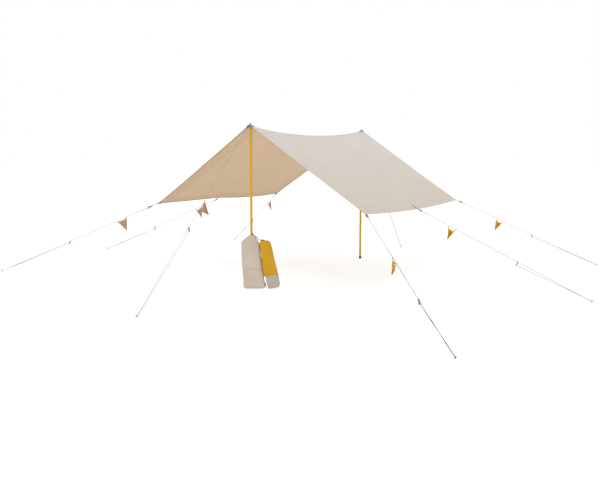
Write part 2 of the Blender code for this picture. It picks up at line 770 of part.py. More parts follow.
def make_toggle(name, bag_sections, place, collection, material):
    """A cord lock on top of a bag: a short barrel that lies on its side."""
    bag_top, _, _, right, front = bag_sections[-1]
    height = bag_top + TOGGLE_RADIUS + GAP
    bpy.ops.mesh.primitive_cylinder_add(vertices=16, radius=TOGGLE_RADIUS, depth=TOGGLE_LENGTH)
    toggle = bpy.context.object
    toggle.name = name
    for owner in list(toggle.users_collection):
        owner.objects.unlink(toggle)
    collection.objects.link(toggle)
    toggle.data.materials.append(material)
    toggle.data.transform(Matrix.Rotation(math.pi / 2.0, 4, "Y"))
    toggle.matrix_world = place @ Matrix.Translation((right, -front, height))
    round_shading(toggle.data)


def main():
    clear_scene()
    parts = new_collection("camping_tarp")
    tools = new_collection("cutters")
    materials = {
        "canvas": principled("canvas", (0.66, 0.61, 0.54), 0.95),
        "tape": principled("ridge tape", (0.58, 0.53, 0.47), 0.9),
        "webbing": principled("webbing", (0.27, 0.26, 0.25), 0.85),
        "cord": principled("cord", (0.83, 0.80, 0.73), 0.8),
        "wood": principled("wood", (0.44, 0.28, 0.13), 0.55),
        "pole": principled("pole paint", (0.66, 0.34, 0.02), 0.35),
        "rubber": principled("rubber", (0.02, 0.02, 0.025), 0.8),
        "steel": principled("steel", (0.45, 0.45, 0.46), 0.35, 1.0),
        "pennant": principled("pennant cloth", (0.62, 0.32, 0.02), 0.9),
        "bag": principled("bag canvas", (0.58, 0.50, 0.40), 0.95),
        "pole_bag": principled("pole bag cloth", (0.60, 0.33, 0.03), 0.9),
        "toggle": principled("toggle", (0.05, 0.05, 0.055), 0.5),
    }

    eyelets = []
    for place, y in (("front", 0.0), ("rear", POLE_SPAN)):
        bpy.ops.mesh.primitive_cylinder_add(vertices=16, radius=EYELET_RADIUS, depth=CUTTER_DEPTH,
                                            location=(0.0, y, RIDGE_END_Z))
        cutter = bpy.context.object
        cutter.name = f"{place}_eyelet_cutter"
        hide_tool(cutter, tools)
        eyelets.append(cutter)
        make_pole(place, y, parts, materials)
    make_roof_panel("roof_panel_left", LEFT, parts, materials["canvas"], eyelets)
    make_roof_panel("roof_panel_right", RIGHT, parts, materials["canvas"], eyelets)
    make_ridge_seam(parts, materials["tape"])

    bpy.ops.mesh.primitive_cube_add(size=1.0)
    ground = bpy.context.object
    ground.name = "ground_cutter"
    ground.data.transform(Matrix.Diagonal((*GROUND_CUTTER, 1.0)))
    ground.location = (0.0, POLE_SPAN / 2.0, -GROUND_CUTTER[2] / 2.0)
    hide_tool(ground, tools)
    bpy.context.view_layer.update()

    for place, guy in GUYS.items():
        frame, length = line_frame(guy)
        make_guy_cord(f"guy_{place}", guy, frame, length, parts, materials["cord"])
        strap = make_strap(f"strap_{place}", guy, frame, parts, tools, materials["webbing"])
        if guy["side"] == 0:
            pin_y = POLE_SPAN * guy["back"]
            bpy.ops.mesh.primitive_cylinder_add(vertices=16, radius=TIP_PIN_RADIUS + PIN_CLEARANCE,
                                                depth=CUTTER_DEPTH,
                                                location=(0.0, pin_y, RIDGE_END_Z))
            pin_cutter = bpy.context.object
            pin_cutter.name = f"{place}_pin_cutter"
            hide_tool(pin_cutter, tools)
            add_boolean(strap, pin_cutter, "DIFFERENCE")
        slider = make_runner(f"runner_{place}", guy, parts, materials["wood"])
        slider.matrix_world = frame @ Matrix.Translation((guy["runner"], 0.0, 0.0))
        pennant = pennant_mesh(guy, parts, tools)
        pennant.materials.clear()
        pennant.materials.append(materials["pennant"])
        flag = add_mesh_object(f"pennant_{place}", pennant, parts)
        flag.matrix_world = frame @ Matrix.Translation((guy["pennant"], 0.0, 0.0))
        make_peg(f"peg_{place}", frame, length, parts, ground, materials["steel"])

    upright = bag_place()
    leaning = bag_place(POLE_BAG_RIGHT, POLE_BAG_LEAN, POLE_BAG_BASE_SECTIONS[0][1])
    make_bag("tarp_bag", TARP_BAG_SECTIONS, upright, parts, materials["bag"])
    make_bag("pole_bag_base", POLE_BAG_BASE_SECTIONS, leaning, parts, materials["bag"])
    make_bag("pole_bag_body", POLE_BAG_BODY_SECTIONS, leaning, parts, materials["pole_bag"])
    make_toggle("tarp_bag_toggle", TARP_BAG_SECTIONS, upright, parts, materials["toggle"])
    make_toggle("pole_bag_toggle", POLE_BAG_BODY_SECTIONS, leaning, parts, materials["toggle"])


main()
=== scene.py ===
"""Camping tarp: the looks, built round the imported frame.

Metres, +Z up. The origin is on the ground under the front pole, +Y runs along the ridge
to the rear pole, and +X is to the right of someone who looks that way. The canopy is one
sheet, and what is sewn to it follows the same surface, by metres back from its front
edge and metres down from its ridge.
"""

import json
import math

import bpy
import numpy as np
from mathutils import Matrix, Vector


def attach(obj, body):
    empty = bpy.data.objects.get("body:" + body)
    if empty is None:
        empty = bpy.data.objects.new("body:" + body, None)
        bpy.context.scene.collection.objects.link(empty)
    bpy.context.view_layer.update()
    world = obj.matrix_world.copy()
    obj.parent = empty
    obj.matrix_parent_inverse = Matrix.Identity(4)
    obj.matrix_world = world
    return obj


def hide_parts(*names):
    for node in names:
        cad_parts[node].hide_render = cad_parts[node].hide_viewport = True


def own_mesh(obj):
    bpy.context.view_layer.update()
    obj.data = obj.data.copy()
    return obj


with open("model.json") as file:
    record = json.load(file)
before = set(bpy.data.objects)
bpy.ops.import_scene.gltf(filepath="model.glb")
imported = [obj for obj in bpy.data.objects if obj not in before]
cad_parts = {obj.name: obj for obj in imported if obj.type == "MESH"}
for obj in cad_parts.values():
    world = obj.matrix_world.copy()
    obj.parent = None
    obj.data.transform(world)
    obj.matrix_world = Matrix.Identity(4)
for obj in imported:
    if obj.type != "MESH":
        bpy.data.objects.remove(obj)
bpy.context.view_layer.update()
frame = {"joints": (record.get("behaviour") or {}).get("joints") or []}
JOINTS = {joint["name"]: joint for joint in frame["joints"]}

LEFT, RIGHT = -1, 1
UP = (0.0, 0.0, 1.0)

# The canopy's form, as in the frame
POLE_SPAN = 3.05
SLOPE_LENGTH = 1.955
CANOPY_LENGTH = 3.11
RIDGE_END_Z = 2.092
RIDGE_SAG = 0.110
RIDGE_SAG_POWER = 0.8
RIDGE_OVERHANG = 0.030
CORNER_X = 1.640
CORNER_Z = 1.023
CORNER_INSET = 0.018
PANEL_SAG = 0.022
EDGE_CURVE = 0.012
EAVES = {
    LEFT: {"out": 0.047, "lift": 0.007, "front_belly": 0.0, "rear_belly": 0.022},
    RIGHT: {"out": 0.016, "lift": -0.039, "front_belly": 0.008, "rear_belly": 0.008},
}

# The cloth and what is sewn to it
CLOTH_THICKNESS = 0.0008
CLOTH_STEP = 0.022
EDGE_STEP = 0.010
EDGE_REACH = 0.17
HEM_WIDTH = 0.024
HEM_THICKNESS = 0.0009
EDGE_ROUNDING = 0.0011
EAVE_BAND = 0.150
EAVE_MIDDLE_ROW = 0.065
END_BAND = 0.215
BAND_THICKNESS = 0.0006
RIDGE_TAPE = 0.013
STITCH_PITCH = 0.0065
STITCH_LENGTH = 0.0042
STITCH_RADIUS = 0.00045
HEADING_STEP = 0.002
SEAM_LIFT = 0.0004
BAG_STITCH_PITCH = 0.006
BAG_STITCH_LENGTH = 0.0040
PATCH_GAP = 0.001
PATCH_LIFT = 0.0006
PATCH_LEG = 0.075
OUTER_PATCH_LEG = 0.150

# Poles
POLE_RADIUS = 0.016
TIP_PIN_RADIUS = 0.004

# Guy lines
CORD_RADIUS = 0.0025
STRAP_WIDTH = 0.025
STRAP_THICKNESS = 0.0017
STRAP_LIFT = 0.0012
STRAP_ON_CANOPY = {"corner": 0.016, "middle": 0.095}
WEDGE_REACH = 0.055
TWIST_START = 0.030
SADDLE_HALF = 0.036
SADDLE_LENGTH = 0.064
BOOT_TOP = 2.1100
BUCKLE_LENGTH = 0.044
BUCKLE_WIDTH = 0.034
BUCKLE_RAIL_RADIUS = 0.0033
BUCKLE_BARS = ((0.008, 0.0027), (0.0225, 0.0024), (0.037, 0.0029))
WEBBING_BEND_RADIUS = 0.0038
SLEEVE_LENGTH = 0.080
SLEEVE_RADIUS = 0.0042
SLEEVE_LOOP_RADIUS = 0.0052
WHIPPING_TURNS = 5
WHIPPING_PITCH = 0.0010
WHIPPING_RADIUS = 0.0037
WHIPPING_THREAD = 0.00055
RUNNER_LENGTH = 0.066
RUNNER_WIDTH = 0.020
RUNNER_THICKNESS = 0.010
RUNNER_HOLE_SPACING = 0.045
RUNNER_HOLE_RADIUS = 0.0031
PEG_RADIUS = 0.004
PEG_NECK = 0.011
PEG_HOOK_RADIUS = 0.009
PEG_LEAN_LIMIT = math.radians(35.0)
PEG_CORD_GAP = 0.0005
PEG_LINE_Z = 0.020
PENNANT_CUT = 0.155
PENNANT_DROP = 0.010
PENNANT_HEIGHT = 0.172
PENNANT_FOLD_LIMIT = 0.040
PENNANT_WAVE_TURN = 47.0
PENNANT_HALF_THICKNESS = 0.0006
PENNANT_HEM_HALF_THICKNESS = 0.0011
TIE_LOOP_RADIUS = 0.0042
TIE_TAPE = (0.005, 0.0008)

# One row for each guy line, as in the frame but for the last two columns: which side of
# the ridge it pulls on, how far back on that edge, the webbing before its buckle, how far
# down it the runner is and the degrees that the runner leans, how far down it the
# pennant's middle is, how wide the ties hold the pennant and how much it sags between
# them. The looks' own are the webbing's twist in degrees and how much wider it starts.
GUY_COLUMNS = ("side", "back", "strap", "runner", "lean", "pennant", "span", "sag", "twist", "wedge")
GUY_ROWS = {
    "front_left": (LEFT, 0.0, 0.120, 1.41, 60.0, 0.570, 0.155, 0.010, -60.0, 1.7),
    "left_middle": (LEFT, 0.5, 0.095, 1.562, 50.0, 0.510, 0.145, 0.020, -50.0, 1.0),
    "rear_left": (LEFT, 1.0, 0.055, 1.125, 45.0, 0.338, 0.140, 0.022, -40.0, 1.5),
    "front_right": (RIGHT, 0.0, 0.035, 1.85, 55.0, 1.093, 0.138, 0.034, 10.0, 1.1),
    "right_middle": (RIGHT, 0.5, 0.030, 1.522, 10.0, 0.555, 0.118, 0.034, 45.0, 1.0),
    "rear_right": (RIGHT, 1.0, 0.060, 1.274, 55.0, 0.738, 0.122, 0.030, 60.0, 1.2),
    "front_peak": (0, 0.0, 0.030, 1.702, 35.0, 1.360, 0.150, 0.014, 0.0, 1.0),
    "rear_peak": (0, 1.0, 0.030, 1.55, 45.0, 1.150, 0.145, 0.020, 15.0, 1.0),
}
GUYS = {place: dict(zip(GUY_COLUMNS, row)) for place, row in GUY_ROWS.items()}


# Numbers, meshes and sweeps
def srgb(colour):
    """A colour as a screen shows it, 0 to 255, as the linear values that shaders use."""
    shares = [channel / 255.0 for channel in colour]
    return (*(c / 12.92 if c <= 0.04045 else ((c + 0.055) / 1.055) ** 2.4 for c in shares), 1.0)


def half_bump(t):
    """0 at both ends and 1 in the middle of 0 to 1."""
    return np.maximum(0.0, 4.0 * t * (1.0 - t))


def smooth_step(low, high, value):
    t = np.clip((value - low) / (high - low), 0.0, 1.0)
    return t * t * (3.0 - 2.0 * t)


def unit(vectors):
    return vectors / np.maximum(np.linalg.norm(vectors, axis=-1, keepdims=True), 1e-12)


def distances(points):
    """How far along a line each of its points lies."""
    return np.concatenate([[0.0], np.cumsum(np.linalg.norm(np.diff(points, axis=0), axis=1))])


def full_turn(count):
    return 2.0 * math.pi * np.arange(count) / count


def arc(first, last, count, radius):
    """Points (x, y) of an arc about the origin, between two angles in degrees."""
    angles = [math.radians(angle) for angle in np.linspace(first, last, count)]
    return [(radius * math.cos(a), radius * math.sin(a)) for a in angles]


def new_object(name, points, faces, uvs, materials, face_materials=None):
    """A mesh object. uvs has one pair for each point, in metres along and across."""
    mesh = bpy.data.meshes.new(name)
    mesh.from_pydata([tuple(map(float, p)) for p in points], [], [tuple(map(int, f)) for f in faces])
    for material in materials:
        mesh.materials.append(material)
    if face_materials is not None:
        mesh.polygons.foreach_set("material_index", np.asarray(face_materials, dtype=np.int32))
    layer = mesh.uv_layers.new(name="weave")
    corner_points = np.empty(len(mesh.loops), dtype=np.int32)
    mesh.loops.foreach_get("vertex_index", corner_points)
    layer.data.foreach_set("uv", np.asarray(uvs, dtype=np.float32)[corner_points].ravel())
    mesh.shade_smooth()
    mesh.set_sharp_from_angle(angle=math.radians(50.0))
    mesh.update()
    obj = bpy.data.objects.new(name, mesh)
    bpy.context.scene.collection.objects.link(obj)
    return obj


def dress(piece, slot, *replaced, body="shelter"):
    """Puts a piece on its body, in place of nodes of the frame if it has any. The slot is not used."""
    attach(piece, body)
    if replaced:
        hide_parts(*replaced)
    return piece


def grid_faces(rows, columns, closed_columns=False):
    """Quads between the points of a grid that is stored row by row."""
    wide = columns if closed_columns else columns - 1
    i, j = np.meshgrid(np.arange(rows - 1), np.arange(wide), indexing="ij")
    i, j = i.ravel(), j.ravel()
    k = (j + 1) % columns
    return np.stack([i * columns + j, i * columns + k, (i + 1) * columns + k, (i + 1) * columns + j], 1)


def capped_faces(rows, sides):
    """Faces of a stack of rings, with a cap at both ends."""
    last = (rows - 1) * sides
    return [*grid_faces(rows, sides, True), range(sides - 1, -1, -1), range(last, last + sides)]


def rim(rows, columns):
    """The points once round a grid, by their places in it."""
    across, down = range(columns - 1), range(rows - 1)
    return ([j for j in across] + [i * columns + columns - 1 for i in down]
            + [rows * columns - 1 - j for j in across] + [(rows - 1 - i) * columns for i in down])


def layered_faces(rows, columns):
    """Faces of two layers of one grid, and of the rim between them."""
    quads, count, ring = grid_faces(rows, columns), rows * columns, rim(rows, columns)
    edge = [(j, i, i + count, j + count) for i, j in zip(ring, ring[1:] + ring[:1])]
    return [*quads, *(quads[:, ::-1] + count), *edge]


def sweep(points, across, upward, profile, scales=None):
    """Points, faces and uvs of a closed profile that is carried along a line, with its caps.

    across and upward give the profile's own axes at each point, and scales its size.
    """
    points, across, upward = (np.asarray(a, dtype=float) for a in (points, across, upward))
    scales = np.ones(len(points)) if scales is None else np.asarray(scales, dtype=float)
    spread = profile[None, :, :] * scales[:, None, None]
    surface = (points[:, None, :] + spread[..., :1] * across[:, None, :]
               + spread[..., 1:] * upward[:, None, :])
    uvs = np.stack(np.broadcast_arrays(distances(points)[:, None], distances(profile)[None, :]), -1)
    return surface.reshape(-1, 3), capped_faces(len(points), len(profile)), uvs.reshape(-1, 2)


def axes_along(points, level=UP):
    """For a line of points: across and upward axes that turn as little as they can."""
    tangents = unit(np.gradient(np.asarray(points, dtype=float), axis=0))
    start = np.array(level, dtype=float)
    if abs(tangents[0] @ start) > 0.95:
        start = np.array((1.0, 0.0, 0.0))
    across = []
    current = unit(start - (start @ tangents[0]) * tangents[0])
    for tangent in tangents:
        current = unit(current - (current @ tangent) * tangent)
        across.append(current)
    across = np.array(across)
    return across, np.cross(tangents, across)


def circle_profile(radius, sides):
    angles = full_turn(sides)
    return np.stack([radius * np.cos(angles), radius * np.sin(angles)], 1)


def tape_profile(width, thickness):
    """A flat tape with rounded edges, its middle on the line that it follows."""
    half, thin = width / 2.0, thickness / 2.0
    inner = half - thin * 0.6
    right = [(inner, thin), (half, thin * 0.35), (half, -thin * 0.35), (inner, -thin)]
    middle_x = [half * 0.5, 0.0, -half * 0.5]
    bottom = [(x, -thin) for x in middle_x]
    left = [(-x, -y) for x, y in right]
    top = [(-x, thin) for x in middle_x]
    return np.array(right + bottom + left + top)[::-1]


class Parts:
    """Gathers many small shapes into the points and faces of one mesh."""

    def __init__(self):
        self.points, self.faces, self.uvs, self.materials = [], [], [], []
        self.count = 0

    def add(self, points, faces, uvs=None, material=0):
        self.points.append(np.asarray(points, dtype=float))
        self.faces.extend(tuple(int(i) + self.count for i in face) for face in faces)
        self.uvs.append(np.zeros((len(points), 2)) if uvs is None else np.asarray(uvs))
        self.materials.extend([material] * len(faces))
        self.count += len(points)

    def make(self, name, materials, slot, *replaced, body="shelter"):
        made = new_object(name, np.concatenate(self.points), self.faces, np.concatenate(self.uvs),
                          materials, self.materials)
        return dress(made, slot, *replaced, body=body)


def tube(points, radius, sides, scales=None, level=UP):
    return sweep(points, *axes_along(points, level), circle_profile(radius, sides), scales)


def lathe(profile, sides):
    """Points, faces and uvs of a shape turned about Z. The profile runs down its outer side."""
    angles = full_turn(sides)
    rows = [np.stack([radius * np.cos(angles), radius * np.sin(angles), np.full(sides, z)], 1)
            for radius, z in profile]
    faces = [face[::-1] for face in capped_faces(len(profile), sides)]
    uvs = [(z, radius * angle) for radius, z in profile for angle in angles]
    return np.concatenate(rows), faces, uvs


def trefoil(size):
    """A knot, as the middle line of the cord that ties it. X is its flat axis."""
    t = full_turn(64)
    y = np.sin(t) + 2.0 * np.sin(2.0 * t)
    z = np.cos(t) - 2.0 * np.cos(2.0 * t)
    x = -np.sin(3.0 * t)
    return size * np.stack([x, y / 3.0, z / 3.0], 1)


# The canopy's surface
def ridge_curve(t):
    y = -RIDGE_OVERHANG + t * (POLE_SPAN + 2.0 * RIDGE_OVERHANG)
    z = RIDGE_END_Z - RIDGE_SAG * half_bump(t) ** RIDGE_SAG_POWER
    return np.stack([np.zeros_like(t), y, z], -1)


def eave_curve(side, t):
    eave = EAVES[side]
    towards_middle = 1.0 - np.abs(2.0 * t - 1.0)
    belly = np.where(t < 0.5, eave["front_belly"], eave["rear_belly"])
    x = side * (CORNER_X + eave["out"] * towards_middle)
    y = CORNER_INSET + t * (POLE_SPAN - 2.0 * CORNER_INSET)
    z = CORNER_Z + eave["lift"] * towards_middle - belly * half_bump(towards_middle)
    return np.stack([x, y, z], -1)


def slope_form(side, t, s):
    """The canopy's top without its folds, t from front to rear and s from ridge to eave."""
    point = ridge_curve(t) * (1.0 - s)[..., None] + eave_curve(side, t) * s[..., None]
    belly = half_bump(s)
    point[..., 2] -= PANEL_SAG * belly * (0.25 + 0.75 * half_bump(t))
    point[..., 1] += EDGE_CURVE * belly * (1.0 - 2.0 * t)
    return point


def slope_normal(side, t, s):
    step = 0.002
    t0, t1 = np.clip(t - step, 0.0, 1.0), np.clip(t + step, 0.0, 1.0)
    s0, s1 = np.clip(s - step, 0.0, 1.0), np.clip(s + step, 0.0, 1.0)
    along = slope_form(side, t1, s) - slope_form(side, t0, s)
    down = slope_form(side, t, s1) - slope_form(side, t, s0)
    return unit(np.cross(along, down) if side == LEFT else np.cross(down, along))


# Where the cloth is pulled, by metres back and metres down: the reach of the folds that
# run out from there, how high they stand, and how many go round a full turn.
PULLS = [
    (0.0, SLOPE_LENGTH, 0.42, 0.0042, 18.0),
    (CANOPY_LENGTH, SLOPE_LENGTH, 0.42, 0.0042, 18.0),
    (CANOPY_LENGTH / 2.0, SLOPE_LENGTH, 0.30, 0.0032, 13.0),
    (0.0, 0.0, 0.50, 0.0038, 15.0),
    (CANOPY_LENGTH, 0.0, 0.50, 0.0038, 15.0),
]


def folds(side, back, down):
    """How far the cloth stands off its smooth form: pull folds, a soft swell, hem puckers."""
    height = np.zeros_like(back)
    for i, (pull_back, pull_down, reach, size, turns) in enumerate(PULLS):
        dx, dy = back - pull_back, down - pull_down
        distance, angle = np.hypot(dx, dy), np.arctan2(dy, dx)
        rise = smooth_step(0.08, 0.26, distance)
        wave = np.cos(turns * angle + 1.7 * i + 0.6 * side + 2.0 * distance)
        height += size * rise * np.exp(-distance / reach) * wave
    phase = 1.3 if side == LEFT else 0.0
    swell = (np.sin(2.9 * back + 3.7 * down + phase) + 0.7 * np.sin(5.3 * back - 4.1 * down + 2.0 * phase)
             + 0.45 * np.sin(9.7 * back + 2.3 * down + 0.5) * np.sin(7.1 * down + 1.9 * back))
    end = np.minimum(back, CANOPY_LENGTH - back)
    edge = np.minimum(end, SLOPE_LENGTH - down)
    height += 0.0022 * swell * smooth_step(0.0, 0.25, np.minimum(edge, down))
    pucker = np.sin(2.0 * math.pi * (back + down) / 0.055 + 3.0 * np.sin(4.0 * back)
                    + 2.0 * np.sin(5.0 * down))
    height += 0.0007 * np.exp(-np.maximum(edge, 0.0) / 0.030) * pucker
    band = np.exp(-(((SLOPE_LENGTH - down) - EAVE_BAND) / 0.016) ** 2)
    band_end = np.exp(-((end - END_BAND) / 0.016) ** 2)
    height += 0.0006 * (band + band_end) * (pucker - 0.8)
    # Over the ridge the folds die away.
    return height * smooth_step(0.0, 0.06, down)


def on_slope(side, back, down):
    """Points over one slope, by metres from the canopy's front edge and from its ridge."""
    t, s = back / CANOPY_LENGTH, down / SLOPE_LENGTH
    return slope_form(side, t, s) + folds(side, back, down)[..., None] * slope_normal(side, t, s)


def over_ridge(back, across, height):
    """Points over both slopes: across is metres from the ridge, to the right if over 0."""
    placed, normals = [], []
    for side in (LEFT, RIGHT):
        down = np.maximum(side * across, 0.0)
        placed.append(on_slope(side, back, down))
        normals.append(slope_normal(side, back / CANOPY_LENGTH, down / SLOPE_LENGTH))
    right_share = smooth_step(-0.014, 0.014, across)[..., None]
    normal = unit(normals[0] * (1.0 - right_share) + normals[1] * right_share)
    return np.where((across < 0.0)[..., None], placed[0], placed[1]) + height[..., None] * normal


# Materials
class Finish:
    """A material in the making, with its node tree and its shader's sockets."""

    def __init__(self, name, colour, roughness, metallic=0.0):
        self.material = bpy.data.materials.new(name)
        self.material.use_nodes = True
        self.tree = self.material.node_tree
        self.shader = self.tree.nodes["Principled BSDF"].inputs
        self.set({"Base Color": colour, "Roughness": roughness, "Metallic": metallic})

    def set(self, values):
        for socket, value in values.items():
            self.shader[socket].default_value = value

    def node(self, kind, values=None, **settings):
        made = self.tree.nodes.new(kind)
        for key, value in settings.items():
            setattr(made, key, value)
        for socket, value in (values or {}).items():
            made.inputs[socket].default_value = value
        return made

    def link(self, source, target):
        self.tree.links.new(source, target)

    def weave(self):
        """The piece's own coordinates, in metres along and across."""
        return self.node("ShaderNodeUVMap", uv_map="weave").outputs["UV"]

    def noise(self, source, scale, stretch=(1.0, 1.0, 1.0), detail=2.0):
        """Noise over a coordinate that is stretched first, as the fibres of a yarn are."""
        mapping = self.node("ShaderNodeMapping", {"Scale": stretch})
        noise = self.node("ShaderNodeTexNoise", {"Scale": scale, "Detail": detail})
        self.link(source, mapping.inputs["Vector"])
        self.link(mapping.outputs["Vector"], noise.inputs["Vector"])
        return noise.outputs["Fac"]

    def mixed(self, factor, first, second):
        """A colour between two. The first may be a socket."""
        mix = self.node("ShaderNodeMix", data_type="RGBA")
        self.link(factor, mix.inputs[0])
        if isinstance(first, bpy.types.NodeSocket):
            self.link(first, mix.inputs[6])
        else:
            mix.inputs[6].default_value = first
        mix.inputs[7].default_value = second
        return mix.outputs[2]

    def ranged(self, source, low, high, to_low=0.0, to_high=1.0):
        span = self.node("ShaderNodeMapRange", {1: low, 2: high, 3: to_low, 4: to_high})
        self.link(source, span.inputs[0])
        return span.outputs[0]

    def added(self, first, second):
        made = self.node("ShaderNodeMath", operation="ADD")
        self.link(first, made.inputs[0])
        self.link(second, made.inputs[1])
        return made.outputs[0]

    def bumped(self, height, distance):
        bump = self.node("ShaderNodeBump", {"Strength": 1.0, "Distance": distance})
        self.link(height, bump.inputs["Height"])
        self.link(bump.outputs["Normal"], self.shader["Normal"])


def cloth_material(name, low, high, eave=None, yarn=420.0):
    """Woven cotton. The yarns' slubs run both ways over it, and a soft cloud lies below.

    With eave, the colour turns to that one towards the canopy's lower edges: painted shade, darker down the
    slope.
    """
    finish = Finish(name, srgb(high), 0.92)
    weave = finish.weave()
    warp = finish.noise(weave, yarn, (0.10, 1.0, 1.0))
    weft = finish.noise(weave, yarn, (1.0, 0.10, 1.0))
    both = finish.added(warp, weft)
    cloud = finish.noise(weave, 2.2, detail=5.0)
    colour = finish.mixed(finish.ranged(cloud, 0.30, 0.70), srgb(low), srgb(high))
    # Painted shade: the cloth darkens down the slope towards its eaves.
    if eave is not None:
        split = finish.node("ShaderNodeSeparateXYZ")
        finish.link(weave, split.inputs[0])
        down = finish.node("ShaderNodeMath", operation="ABSOLUTE")
        finish.link(split.outputs["Y"], down.inputs[0])
        colour = finish.mixed(finish.ranged(down.outputs[0], 0.3, SLOPE_LENGTH), colour, srgb(eave))
    fleck = finish.ranged(both, 0.75, 1.25, 0.955, 1.035)
    shade = finish.node("ShaderNodeVectorMath", operation="SCALE")
    finish.link(colour, shade.inputs[0])
    finish.link(fleck, shade.inputs["Scale"])
    finish.link(shade.outputs[0], finish.shader["Base Color"])
    finish.bumped(both, 0.0005)
    finish.set({"Sheen Weight": 0.08, "Specular IOR Level": 0.2})
    return finish.material


def ribbed_material(name, low, high, pitch, angle=0.0):
    """Webbing, tape or braid: ribs at a pitch in metres, turned by an angle, painted shade in the grooves
    between them, and their dirt.
    """
    finish = Finish(name, srgb(high), 0.85)
    weave = finish.weave()
    mapping = finish.node("ShaderNodeMapping", {"Rotation": (0.0, 0.0, angle)})
    ribs = finish.node("ShaderNodeTexWave", {"Scale": 0.314159 / pitch, "Distortion": 0.6, "Detail": 1.0})
    finish.link(weave, mapping.inputs["Vector"])
    finish.link(mapping.outputs["Vector"], ribs.inputs["Vector"])
    speck = finish.noise(weave, 260.0)
    both = finish.added(ribs.outputs["Fac"], finish.ranged(speck, 0.3, 0.7, -0.25, 0.25))
    # Painted shade: the colour follows the ribs' height, darker in the grooves.
    colour = finish.mixed(finish.ranged(both, 0.0, 1.0), srgb(low), srgb(high))
    finish.link(colour, finish.shader["Base Color"])
    finish.bumped(both, 0.0004)
    finish.set({"Specular IOR Level": 0.25})
    return finish.material


def wood_material(name, low, high):
    """Oiled wood, its grain along the piece's own U."""
    finish = Finish(name, srgb(high), 0.42)
    weave = finish.weave()
    grain = finish.noise(weave, 900.0, (0.045, 1.0, 1.0), 4.0)
    streak = finish.noise(weave, 160.0, (0.12, 1.0, 1.0))
    both = finish.added(grain, streak)
    colour = finish.mixed(finish.ranged(both, 0.8, 1.2), srgb(low), srgb(high))
    finish.link(colour, finish.shader["Base Color"])
    finish.bumped(grain, 0.00025)
    return finish.material


def solid_material(name, low, high, roughness, metallic=0.0, grain=40.0, relief=0.0):
    """Paint, metal, rubber or plastic, with faint wear in its colour and its gloss."""
    finish = Finish(name, srgb(high), roughness, metallic)
    place = finish.node("ShaderNodeTexCoord").outputs["Object"]
    wear = finish.noise(place, grain, detail=6.0)
    colour = finish.mixed(finish.ranged(wear, 0.35, 0.65), srgb(low), srgb(high))
    finish.link(colour, finish.shader["Base Color"])
    gloss = finish.ranged(wear, 0.3, 0.7, roughness * 0.85, min(1.0, roughness * 1.2))
    finish.link(gloss, finish.shader["Roughness"])
    if relief:
        finish.bumped(wear, relief)
    return finish.material


# The third colour of each canvas that has one is painted shade, darker towards the eaves.
canvas_out = cloth_material("canvas_outside", (192, 186, 179), (198, 192, 185), (191, 180, 168))
# Partly painted light: the inside's tan is the cloth's own colour, brightened and warmed for light that
# shines through it. canvas_band is that colour a little darker, as less of the painted light comes through
# the double layer.
canvas_in = cloth_material("canvas_inside", (203, 178, 147), (211, 187, 157), (194, 169, 139))
canvas_band = cloth_material("canvas_band", (197, 172, 141), (205, 181, 151), (189, 164, 134))
canvas_hem = cloth_material("canvas_hem", (198, 192, 185), (204, 198, 191), (196, 186, 174))
# Painted shade: the inside hem is painted darker for the shade along the cloth's edge.
hem_in_shade = cloth_material("canvas_hem_inside_shade", (160, 138, 111), (172, 150, 122))
thread_out = ribbed_material("thread_outside", (122, 112, 100), (146, 136, 124), 0.0011, 0.8)
thread_in = ribbed_material("thread_inside", (134, 110, 82), (156, 131, 101), 0.0011, 0.8)
webbing = ribbed_material("webbing", (104, 98, 91), (138, 131, 123), 0.0018)
dark_webbing = ribbed_material("dark_webbing", (118, 110, 106), (146, 137, 132), 0.0018)
saddle_webbing = ribbed_material("saddle_webbing", (142, 133, 130), (166, 156, 152), 0.0018)
tape = ribbed_material("tape", (150, 110, 40), (190, 145, 60), 0.0016)
# Painted shade: this cord is a darker copy of the beige cord, pale_braid, so its thin lines read darker.
shaded_cord_braid = ribbed_material("cord", (84, 70, 48), (124, 107, 80), 0.0016, 0.7)
pale_braid = ribbed_material("pale_cord", (148, 126, 96), (184, 160, 128), 0.0016, 0.7)
sleeve_cloth = ribbed_material("sleeve", (176, 142, 104), (208, 172, 132), 0.0013, 0.6)
knot_cord = ribbed_material("knot", (110, 82, 52), (150, 114, 74), 0.0013, 0.7)
wood = wood_material("runner_wood", (138, 96, 52), (190, 148, 96))
pennant_yellow = cloth_material("pennant_yellow", (190, 138, 20), (204, 152, 30), yarn=700.0)
pennant_tan = cloth_material("pennant_tan", (164, 128, 98), (176, 141, 112), yarn=700.0)
pole_paint = solid_material("pole_paint", (194, 147, 0), (204, 157, 6), 0.45)
pole_paint.node_tree.nodes["Principled BSDF"].inputs["Specular IOR Level"].default_value = 0.2
steel = solid_material("zinc_steel", (150, 150, 152), (186, 187, 190), 0.34, 1.0, 90.0)
rubber = solid_material("rubber", (34, 34, 38), (50, 50, 54), 0.75, grain=160.0, relief=0.0002)
plastic = solid_material("buckle_plastic", (66, 63, 60), (84, 80, 77), 0.5, grain=120.0)
bag_cloth = cloth_material("bag_canvas", (179, 165, 149), (190, 177, 161), yarn=520.0)
base_cloth = cloth_material("bag_base_canvas", (168, 155, 140), (179, 166, 150), yarn=520.0)
yellow_cloth = cloth_material("yellow_canvas", (180, 136, 22), (192, 149, 32), yarn=520.0)
yellow_cord = ribbed_material("yellow_cord", (170, 124, 20), (200, 152, 34), 0.0016, 0.7)
toggle_dark = solid_material("toggle_dark", (70, 67, 72), (88, 84, 90), 0.45, grain=120.0)
toggle_grey = solid_material("toggle_grey", (104, 104, 104), (120, 120, 120), 0.45, grain=120.0)


